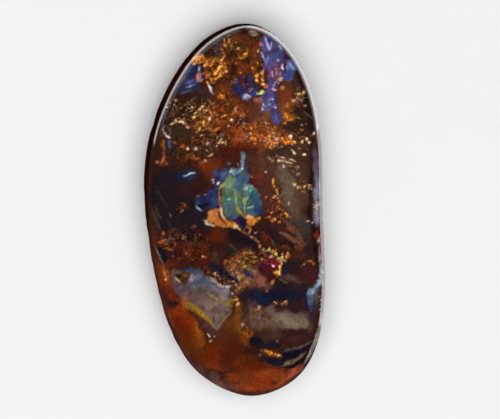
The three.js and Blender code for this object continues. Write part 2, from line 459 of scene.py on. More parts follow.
    ("6c2c08", -6.0, -11.7, 0.8, 0.7, 0, 0.4, 0.7),
    ("541905", -6.4, -13.4, 0.7, 0.9, 20, 0.4, 0.8),
    ("964206", -4.7, -12.9, 0.3, 0.7, 10, 0.25, 0.8),
    ("5e3406", -4.9, -12.6, 0.3, 0.5, 0, 0.2, 0.5),
    ("6e3808", -3.9, -15.1, 0.5, 1.5, 14, 0.35, 0.9),
    ("4a1c08", -5.6, -14.6, 0.5, 1.0, 25, 0.35, 0.8),
    ("84520c", -4.3, -13.7, 0.28, 0.8, 14, 0.25, 0.75),
    ("4c2407", -5.2, -15.9, 0.7, 1.0, 30, 0.4, 0.9),
    ("4a2a07", -4.4, -16.6, 0.6, 0.5, 0, 0.3, 0.8),
    ("571f08", -4.3, -17.2, 0.7, 0.5, 40, 0.3, 0.7),
    ("47230f", -0.8, -14.4, 2.2, 2.2, 0, 0.6, 1.0),
    ("55330f", -0.4, -12.9, 0.9, 0.8, -40, 0.4, 0.8),
    ("6c4310", 0.3, -12.2, 0.5, 1.6, 0, 0.3, 0.8),
    ("581f06", -2.6, -16.9, 1.4, 1.3, 0, 0.5, 1.0),
    ("5a260c", -1.8, -17.3, 0.6, 0.5, 0, 0.3, 0.6),
    ("662a0e", -2.4, -18.1, 1.7, 0.4, -6, 0.3, 0.9),
    ("451a09", 0.0, -16.6, 1.5, 1.6, 0, 0.6, 0.9),
    ("562408", 1.2, -17.6, 1.2, 1.2, 20, 0.5, 0.8),
    ("84400c", 1.3, -14.5, 0.6, 0.9, 20, 0.4, 0.8),
    ("8f5316", 1.6, -13.9, 0.6, 0.35, -10, 0.25, 0.7),
    ("74300c", 3.6, -19.2, 2.4, 1.0, -6, 0.5, 0.95),
    ("7c3c10", 3.6, -19.2, 0.9, 0.6, 0, 0.4, 0.8),
    ("723616", 5.5, -19.4, 1.0, 0.5, 25, 0.35, 0.8),
    ("7c2e0c", 2.6, -20.2, 1.6, 0.5, 4, 0.3, 0.8),
    ("4c1b07", 2.4, -18.3, 1.6, 0.45, -4, 0.3, 0.9),
    ("723412", 0.3, -19.5, 1.3, 0.6, -10, 0.4, 0.8),
    ("584841", -2.3, -19.1, 0.75, 0.45, -15, 0.25, 0.85),
    ("6a4c42", -1.7, -19.9, 0.9, 0.35, -22, 0.25, 0.7),
    ("583a38", -0.9, -20.3, 1.1, 0.4, -14, 0.25, 0.8),
    ("4e3432", -4.0, -18.5, 0.6, 0.3, -40, 0.25, 0.7),
    ("5e3838", 0.5, -20.6, 0.6, 0.3, 0, 0.25, 0.6),
    # Mauve and olive chalcedony of the lower right
    ("584034", 2.8, -12.4, 1.9, 1.4, 0, 0.4, 1.0),
    ("5a5446", 2.9, -12.1, 0.4, 0.8, 10, 0.3, 0.7),
    ("6c4238", 3.6, -12.6, 0.4, 0.6, -20, 0.3, 0.7),
    ("2e2620", 1.3, -11.8, 0.4, 0.6, 0, 0.25, 0.8),
    ("3c2e44", 2.0, -10.9, 0.5, 0.4, 0, 0.25, 0.7),
    ("5c5244", 4.5, -12.8, 0.5, 1.4, 0, 0.3, 0.8),
    ("5e584e", 4.4, -11.4, 0.6, 0.5, -20, 0.3, 0.85),
    ("5c4a34", 3.3, -13.5, 0.6, 0.4, 0, 0.3, 0.7),
    ("6a3a2c", 1.6, -12.5, 0.5, 0.4, 0, 0.3, 0.7),
    ("645c4a", 6.6, -12.8, 2.3, 1.1, -6, 0.3, 1.0),
    ("767052", 6.4, -12.8, 1.2, 0.5, -20, 0.35, 0.8),
    ("6e6244", 8.1, -13.2, 0.5, 0.5, 0, 0.3, 0.6),
    ("54453f", 5.4, -13.3, 0.5, 0.5, 0, 0.3, 0.7),
    ("5e5048", 7.3, -11.8, 1.6, 0.25, -12, 0.2, 0.7),
    ("281920", 7.2, -11.2, 1.6, 0.35, -14, 0.2, 0.9),
    ("2c1b1b", 7.0, -14.8, 2.2, 0.7, 4, 0.3, 1.0),
    ("4c2018", 7.0, -15.0, 0.7, 0.3, 0, 0.25, 0.7),
    ("3c2c20", 4.2, -14.5, 1.2, 0.5, -8, 0.3, 0.9),
    ("413e3e", 8.9, -13.4, 0.35, 0.9, -10, 0.25, 0.8),
    ("2f2434", 9.1, -12.2, 0.4, 0.5, 0, 0.25, 0.8),
    # Dark blots at the lower left rim
    ("1e1418", -6.9, -10.6, 0.8, 0.4, 0, 0.25, 0.9),
    ("201814", -7.9, -9.7, 0.4, 1.0, 15, 0.3, 0.8),
]

# Opal and chalcedony. Each row is a plate with its own border: hex, corners, softness of the edge.
OPAL_PLATES = [
    # Violet seam of the upper right, with a dark border towards the rim
    ("48406a", [(3.0, 18.9), (3.3, 20.1), (4.3, 20.4), (5.3, 19.6), (6.1, 18.8), (6.7, 17.7), (5.9, 17.1),
                (5.6, 16.3), (4.6, 16.6), (3.9, 16.1), (3.3, 16.0), (3.2, 17.0), (2.9, 17.9)], 0.15),
    ("33182a", [(5.4, 19.4), (6.1, 18.8), (6.7, 17.6), (6.1, 17.0), (5.6, 17.6), (5.6, 18.4)], 0.2),
    ("42528e", [(6.1, 17.2), (6.9, 17.1), (7.4, 16.2), (7.0, 15.9), (6.9, 15.3), (6.4, 14.8), (5.6, 14.8),
                (5.5, 15.8), (6.0, 16.4)], 0.18),
    ("423764", [(4.1, 16.4), (4.0, 14.8), (3.5, 13.6), (2.9, 12.9), (3.2, 12.2), (3.1, 11.4), (4.2, 11.4),
                (4.4, 10.2), (5.2, 9.8), (5.6, 10.4), (5.3, 11.4), (5.0, 12.2), (4.9, 13.2), (5.1, 14.0),
                (5.2, 15.0), (4.8, 16.5)], 0.15),
    # Indigo opal of the upper middle
    ("262348", [(0.1, 14.0), (0.6, 15.2), (1.6, 15.6), (2.2, 15.4), (2.4, 14.6), (2.9, 13.9), (2.6, 13.1),
                (1.6, 12.5), (0.8, 13.0), (-0.5, 13.5)], 0.2),
    # Navy opal of the upper left flank
    ("2a2842", [(-5.7, 16.1), (-4.7, 16.5), (-3.9, 16.4), (-3.8, 15.6), (-4.3, 15.2), (-4.1, 14.5),
                (-4.0, 13.9), (-4.9, 13.5), (-6.0, 13.2), (-6.8, 13.4), (-6.1, 14.2), (-5.5, 15.0)], 0.3),
    # Navy opal beside the middle one
    ("1c2742", [(-6.6, 3.9), (-6.0, 4.4), (-5.2, 4.6), (-4.2, 4.5), (-3.8, 4.1), (-4.5, 3.6), (-5.0, 3.0),
                (-5.6, 3.4), (-6.6, 3.3)], 0.3),
    # The middle opal: its violet left wing and its teal body with a neck at the top
    ("363f62", [(-2.5, 3.2), (-2.4, 4.7), (-1.5, 4.75), (-0.5, 4.8), (-0.4, 3.9), (-1.3, 2.8), (-1.7, 2.4),
                (-2.1, 2.6)], 0.22),
    ("232a52", [(-2.4, 2.9), (-1.7, 2.4), (-1.7, 0.1), (-2.9, 0.2), (-3.6, 0.0), (-4.3, 0.1), (-4.45, 0.9),
                (-4.0, 1.6), (-3.1, 1.9), (-2.7, 2.3)], 0.22),
    ("4a6664", [(-1.5, 2.5), (-0.6, 3.8), (-0.5, 4.7), (0.3, 4.8), (0.8, 4.8), (0.9, 5.5), (0.7, 6.5),
                (1.2, 6.5), (1.35, 5.6), (1.5, 4.6), (1.8, 3.8), (1.5, 3.2), (2.3, 2.8), (2.9, 2.0),
                (3.2, 1.0), (3.2, 0.0), (2.8, -0.6), (1.4, -0.6), (1.0, -0.5), (0.4, -1.0), (-0.4, -1.2),
                (-1.0, -0.8), (-1.5, 0.3)], 0.2),
    # Peach potch under it, a navy wedge, and an orange piece beside that
    ("c97a36", [(-3.0, -0.2), (-2.4, 0.1), (-1.5, 0.1), (-1.2, -0.7), (-0.8, -1.1), (0.1, -1.5), (0.5, -1.8),
                (-0.2, -2.0), (-1.2, -1.95), (-2.0, -1.85), (-3.1, -1.5), (-3.0, -1.0)], 0.06),
    ("221a46", [(-0.1, -1.2), (0.5, -0.7), (1.2, -0.9), (1.5, -1.4), (1.3, -1.9), (0.8, -1.8),
                (0.3, -1.5)], 0.1),
    ("d08a40", [(1.4, -0.6), (2.2, -0.7), (3.0, -0.7), (3.1, -1.0), (2.6, -1.2), (2.4, -1.6), (2.0, -1.65),
                (1.5, -1.3)], 0.08),
    # Lilac potch of the lower left with a brown island in it
    ("62504e", [(-7.2, -7.0), (-6.6, -6.8), (-5.9, -7.0), (-4.9, -6.8), (-4.0, -7.0), (-3.4, -7.4),
                (-2.9, -7.9), (-2.2, -8.0), (-1.6, -8.7), (-0.9, -8.5), (-0.5, -8.9), (-0.4, -9.9),
                (-0.3, -10.6), (-0.3, -11.7), (-0.9, -12.4), (-1.5, -13.1), (-2.0, -13.9), (-3.0, -12.9),
                (-4.2, -11.9), (-5.2, -11.2), (-5.6, -10.5), (-6.3, -9.8), (-6.8, -9.1), (-7.1, -8.4)], 0.3),
    ("4c2a2c", [(-4.3, -12.1), (-3.2, -12.8), (-2.0, -13.9), (-1.6, -14.3), (-1.9, -14.7), (-2.5, -14.5),
                (-3.4, -13.8), (-4.1, -13.0)], 0.35),
    ("402812", [(-6.8, -7.3), (-6.0, -7.0), (-5.2, -7.1), (-4.9, -7.6), (-5.3, -8.2), (-5.7, -8.45),
                (-6.2, -8.2), (-6.5, -7.8)], 0.1),
    # Black lenses and the striped lower right corner
    ("14182a", [(1.65, -15.2), (2.1, -14.7), (2.6, -14.5), (3.1, -14.8), (3.4, -15.3), (4.1, -15.4),
                (4.5, -15.0), (5.0, -15.4), (5.4, -15.6), (5.1, -16.1), (4.4, -16.0), (3.5, -15.95),
                (2.6, -15.95), (2.1, -15.6)], 0.1),
    ("151428", [(3.4, -17.2), (4.2, -17.1), (5.2, -17.2), (6.0, -17.3), (5.5, -18.0), (4.5, -17.95),
                (3.7, -17.6)], 0.1),
    ("0e0e22", [(5.7, -16.5), (6.6, -16.4), (7.8, -16.2), (9.0, -15.3), (8.6, -16.2), (7.6, -16.8),
                (6.6, -17.2), (5.7, -17.5)], 0.12),
    ("605c4e", [(5.4, -18.05), (6.2, -17.5), (7.1, -17.3), (7.7, -16.9), (8.3, -16.5), (8.0, -17.1),
                (7.2, -17.7), (6.2, -18.15)], 0.1),
    # Pale blue opal at the right rim
    ("5c7c9a", [(10.25, -7.4), (9.85, -8.2), (9.3, -8.8), (8.7, -9.2), (8.4, -10.0), (8.6, -11.0),
                (9.1, -11.6), (9.05, -10.7), (9.2, -10.0), (9.6, -9.3), (10.3, -8.6)], 0.2),
    # Black strips just inside the rim
    ("1c1216", [(7.0, 15.9), (7.6, 15.9), (8.1, 14.2), (8.6, 12.6), (9.0, 10.6), (9.3, 8.6), (8.9, 8.8),
                (8.5, 10.4), (8.1, 12.2), (7.7, 13.8)], 0.2),
    ("1b1418", [(8.9, 8.0), (9.2, 8.0), (9.2, 3.0), (9.0, -0.5), (9.6, -2.0), (9.8, -4.0), (9.9, -6.2),
                (9.6, -6.6), (9.3, -5.4), (9.1, -3.5), (8.6, -1.0), (8.7, 3.0)], 0.2),
]

# Flashes of colour in the opal, in the same columns as the ironstone
OPAL_FLASHES = [
    ("3c4478", 5.3, 17.9, 0.5, 0.5, 0, 0.3, 0.85),
    ("20304c", 4.2, 19.5, 0.25, 0.35, -20, 0.15, 0.9),
    ("3c5278", 4.6, 17.5, 0.35, 0.4, 0, 0.2, 0.8),
    ("4c3a62", 4.9, 19.3, 0.4, 0.4, 30, 0.25, 0.8),
    ("503868", 3.9, 16.5, 0.4, 0.4, 0, 0.25, 0.7),
    ("444c84", 3.5, 18.7, 0.25, 0.5, -10, 0.2, 0.8),
    ("5a4a8a", 4.6, 17.0, 0.6, 0.3, 0, 0.2, 0.7),
    ("647cb4", 6.4, 16.6, 0.3, 0.5, -35, 0.2, 0.8),
    ("3060a0", 7.0, 16.6, 0.2, 0.45, -15, 0.12, 0.8),
    ("3c4078", 6.2, 15.4, 0.5, 0.4, 0, 0.25, 0.7),
    ("6b4a6b", 4.9, 15.8, 0.7, 0.9, 0, 0.35, 0.85),
    ("4c4070", 4.3, 13.9, 0.4, 0.8, 0, 0.25, 0.7),
    ("3e426e", 4.0, 12.2, 0.7, 0.55, 20, 0.3, 0.85),
    ("404674", 4.95, 10.5, 0.45, 0.7, 0, 0.25, 0.9),
    ("2c3060", 0.3, 13.9, 0.5, 0.3, 15, 0.2, 0.8),
    ("2a3470", 2.5, 13.4, 0.3, 0.3, 0, 0.15, 0.9),
    ("2c1c3c", 1.2, 14.5, 0.5, 0.5, 0, 0.25, 0.7),
    ("6a4a64", 0.2, 14.7, 0.35, 0.4, 0, 0.2, 0.85),
    ("7e88a4", 1.6, 12.9, 0.5, 0.35, -15, 0.2, 0.9),
    ("8a5848", 2.8, 12.6, 0.45, 0.35, 0, 0.2, 0.85),
    ("42487c", -4.8, 14.65, 0.6, 0.3, 15, 0.25, 0.9),
    ("22224c", -4.6, 16.2, 0.5, 0.3, 0, 0.2, 0.9),
    ("2f4058", -5.4, 15.8, 0.3, 0.5, -30, 0.2, 0.8),
    ("9a6458", -3.9, 15.2, 0.4, 0.5, -20, 0.2, 0.9),
    ("1d2c50", -6.0, 3.8, 0.4, 0.25, 15, 0.2, 0.8),
    ("1c3050", -5.4, 4.3, 0.4, 0.15, 10, 0.12, 0.7),
    ("52466e", -2.1, 4.4, 0.3, 0.35, 0, 0.2, 0.8),
    ("3c1c34", -1.9, 3.6, 0.35, 0.3, 0, 0.15, 0.7),
    ("44608a", -1.15, 4.15, 0.4, 0.45, 0, 0.25, 0.9),
    ("2e4668", -1.55, 3.3, 0.25, 0.35, 0, 0.2, 0.7),
    ("33406a", -2.15, 2.7, 0.25, 0.6, 0, 0.2, 0.8),
    ("2a2670", -2.7, 2.1, 0.35, 0.3, 0, 0.2, 0.8),
    ("2e4068", -2.2, 1.1, 0.35, 0.7, 0, 0.25, 0.8),
    ("1e2454", -3.0, 1.3, 0.5, 0.35, 0, 0.25, 0.8),
    ("24405c", -4.05, 0.95, 0.3, 0.35, 30, 0.2, 0.9),
    ("18162c", -3.4, 0.5, 0.6, 0.25, 10, 0.15, 0.8),
    ("707c8c", 1.05, 5.7, 0.17, 0.8, 4, 0.1, 0.9),
    ("2c3050", 1.5, 4.9, 0.25, 0.8, 0, 0.2, 0.8),
    ("5c7486", 0.2, 4.4, 0.5, 0.35, 0, 0.2, 0.85),
    ("3a5a80", 0.55, 3.5, 0.5, 0.55, 0, 0.25, 0.9),
    ("40487c", 1.35, 3.5, 0.35, 0.35, 20, 0.2, 0.8),
    ("46667c", 0.5, 2.4, 0.6, 0.5, 0, 0.25, 0.8),
    ("6e8460", -0.55, 2.9, 0.5, 0.9, -35, 0.3, 0.9),
    ("62805c", -0.3, 1.9, 0.8, 0.6, 0, 0.3, 0.8),
    ("5c6c66", -0.7, 2.3, 0.3, 0.4, 0, 0.2, 0.6),
    ("4e7452", -1.15, 1.5, 0.25, 0.8, 0, 0.2, 0.8),
    ("4c6c64", -0.6, 0.9, 0.6, 0.3, 0, 0.2, 0.7),
    ("46586c", -0.5, 0.35, 0.5, 0.35, 0, 0.2, 0.9),
    ("3f6450", -0.75, -0.2, 0.35, 0.4, 20, 0.2, 0.8),
    ("485068", -0.1, -0.7, 0.4, 0.35, 0, 0.2, 0.9),
    ("6a8458", 0.35, 1.4, 0.4, 0.5, 0, 0.25, 0.7),
    ("5a6a48", 0.75, 0.8, 0.25, 0.5, 0, 0.2, 0.8),
    ("7f9698", 1.5, 2.75, 0.4, 0.3, 0, 0.2, 0.8),
    ("6a8288", 1.45, 2.2, 0.25, 0.4, 0, 0.2, 0.7),
    ("34606c", 2.35, 1.7, 0.45, 0.7, 15, 0.25, 0.9),
    ("2c4c74", 2.75, 0.9, 0.35, 0.8, 10, 0.25, 0.9),
    ("24407c", 2.6, 0.0, 0.3, 0.35, 0, 0.2, 0.9),
    ("1c2454", 3.15, -0.1, 0.25, 0.5, 0, 0.2, 0.9),
    ("4c7474", 1.8, 1.0, 0.3, 0.6, 0, 0.2, 0.8),
    ("44666e", 1.9, -0.2, 0.4, 0.35, 0, 0.2, 0.8),
    ("d29058", -2.2, -0.3, 0.6, 0.35, 0, 0.25, 0.8),
    ("a87420", -2.8, -0.85, 0.25, 0.25, 0, 0.15, 0.8),
    ("c07c20", -0.2, -1.7, 0.5, 0.15, -10, 0.12, 0.8),
    ("3c1230", 0.5, -1.2, 0.25, 0.25, 0, 0.15, 0.8),
    ("dc9c70", 1.9, -0.85, 0.35, 0.15, 0, 0.12, 0.8),
    ("c87818", 2.1, -1.4, 0.3, 0.2, 0, 0.12, 0.8),
    ("524450", -5.9, -9.1, 0.8, 0.5, 0, 0.35, 0.9),
    ("9a8698", -4.65, -7.75, 0.4, 0.35, 20, 0.2, 0.9),
    ("4c4470", -4.9, -8.4, 0.5, 0.25, 10, 0.2, 0.7),
    ("4a5c66", -4.1, -7.4, 0.5, 0.5, -30, 0.3, 0.9),
    ("4a5a72", -3.4, -8.2, 0.7, 0.4, -15, 0.3, 0.9),
    ("5c6270", -4.2, -8.6, 0.9, 0.4, 0, 0.3, 0.8),
    ("6a6a7c", -2.3, -9.0, 0.7, 0.35, -20, 0.25, 0.8),
    ("786c7c", -0.8, -9.4, 0.4, 0.5, 0, 0.25, 0.9),
    ("80747a", -1.5, -9.35, 0.6, 0.3, -15, 0.25, 0.8),
    ("a89c94", -2.2, -8.2, 0.6, 0.17, -32, 0.15, 0.85),
    ("beb4aa", -1.65, -8.6, 0.4, 0.16, -40, 0.12, 0.85),
    ("6c524e", -5.3, -9.7, 0.8, 0.45, -20, 0.35, 0.8),
    ("5c5648", -3.6, -9.3, 0.9, 0.4, -15, 0.3, 0.8),
    ("6c544c", -3.6, -10.5, 1.2, 0.7, -30, 0.4, 0.9),
    ("745850", -3.0, -11.0, 0.8, 0.6, 0, 0.3, 0.6),
    ("685644", -2.3, -10.9, 0.6, 0.8, -20, 0.3, 0.7),
    ("70544e", -1.5, -11.5, 0.6, 0.7, 0, 0.3, 0.8),
    ("56503a", -1.7, -12.2, 0.5, 0.6, 0, 0.25, 0.8),
    ("66504e", -2.5, -12.5, 0.5, 0.5, -40, 0.25, 0.7),
    ("7c7660", -1.1, -10.2, 0.6, 0.3, -40, 0.2, 0.8),
    ("232a52", -5.5, -6.75, 0.7, 0.2, 0, 0.15, 0.8),
    ("2a3e6c", -4.85, -6.85, 0.35, 0.25, 0, 0.15, 0.8),
    ("6c5452", -7.05, -7.2, 0.3, 0.5, 0, 0.25, 0.8),
    ("5c3a34", -7.0, -8.5, 0.35, 0.6, 10, 0.3, 0.7),
    ("8c4a24", -5.5, -10.4, 0.5, 0.5, -30, 0.3, 0.8),
    ("1e1a08", -6.3, -7.7, 0.3, 0.35, -45, 0.15, 0.8),
    ("5c3020", -5.6, -7.6, 0.4, 0.3, 0, 0.2, 0.8),
    ("a8b4be", 9.85, -8.5, 0.55, 0.2, 40, 0.15, 0.85),
    ("5e7896", 8.7, -9.6, 0.3, 0.4, 0, 0.15, 0.9),
    ("8492a2", 9.1, -9.45, 0.25, 0.3, 0, 0.12, 0.8),
    ("46587c", 8.8, -10.5, 0.25, 0.5, 10, 0.15, 0.9),
    ("28386c", 9.0, -11.2, 0.25, 0.4, 10, 0.15, 0.9),
    ("4c564e", 9.6, -10.0, 0.3, 0.75, -15, 0.2, 0.9),
    ("2c2838", 9.45, -11.3, 0.35, 0.5, 0, 0.2, 0.8),
    ("1d1b3c", 8.2, -11.0, 0.3, 0.5, 0, 0.2, 0.8),
    ("2e2450", 1.65, -7.45, 0.65, 0.16, -38, 0.1, 0.9),
    ("7c7262", 2.35, -7.3, 0.3, 0.2, -10, 0.12, 0.8),
    ("8a6c3c", 1.8, -6.8, 0.4, 0.2, 0, 0.15, 0.7),
    ("1b1832", -1.9, -6.8, 1.2, 0.4, -32, 0.2, 0.9),
    ("1b1832", -0.1, -8.0, 0.7, 0.35, -38, 0.2, 0.9),
    ("7a0f20", 4.75, -6.15, 0.45, 0.4, 0, 0.2, 0.9),
    ("3f4650", -7.4, -3.4, 0.3, 0.4, -20, 0.2, 0.9),
    ("2e4a6c", -7.35, 7.6, 0.22, 0.4, 10, 0.12, 0.9),
]

# Colours painted on the rim, in the same columns as the ironstone. On the right rim they are painted
# reflections and highlights: a blue-grey band, then pale pink and blue-grey lines along the edge. On the
# lower rim they are rust.
RIM_REFLECTIONS_AND_RUST = [
    # Painted reflections and highlights on the right rim: a blue-grey band and pale lines at the edge
    ("504b5e", 9.5, 5.2, 0.4, 1.9, 3, 0.25, 0.9),
    ("7a8298", 9.62, 2.2, 0.38, 1.7, 0, 0.25, 0.9),
    ("8e9ab0", 9.6, -0.8, 0.35, 0.9, 0, 0.2, 0.85),
    ("8a2426", 9.5, -2.75, 0.25, 0.4, 0, 0.15, 0.9),
    ("d8a890", 9.88, -3.4, 0.16, 0.5, -10, 0.12, 0.85),
    ("8a7272", 10.02, -4.9, 0.16, 1.2, 0, 0.12, 0.8),
    ("c09484", 10.04, -5.45, 0.12, 0.35, 0, 0.1, 0.8),
    ("a0b2c6", 10.17, -7.2, 0.2, 1.1, 3, 0.12, 0.9),
    # Rust of the lower rim
    ("8e3c18", 3.4, -20.6, 2.2, 0.4, 6, 0.3, 0.7),
    ("8c4824", 5.8, -19.8, 1.2, 0.35, 33, 0.25, 0.7),
    ("7a3c1e", 0.9, -20.5, 1.2, 0.4, -8, 0.3, 0.6),
    ("a44c38", 6.9, -18.8, 0.9, 0.35, 40, 0.2, 0.85),
]

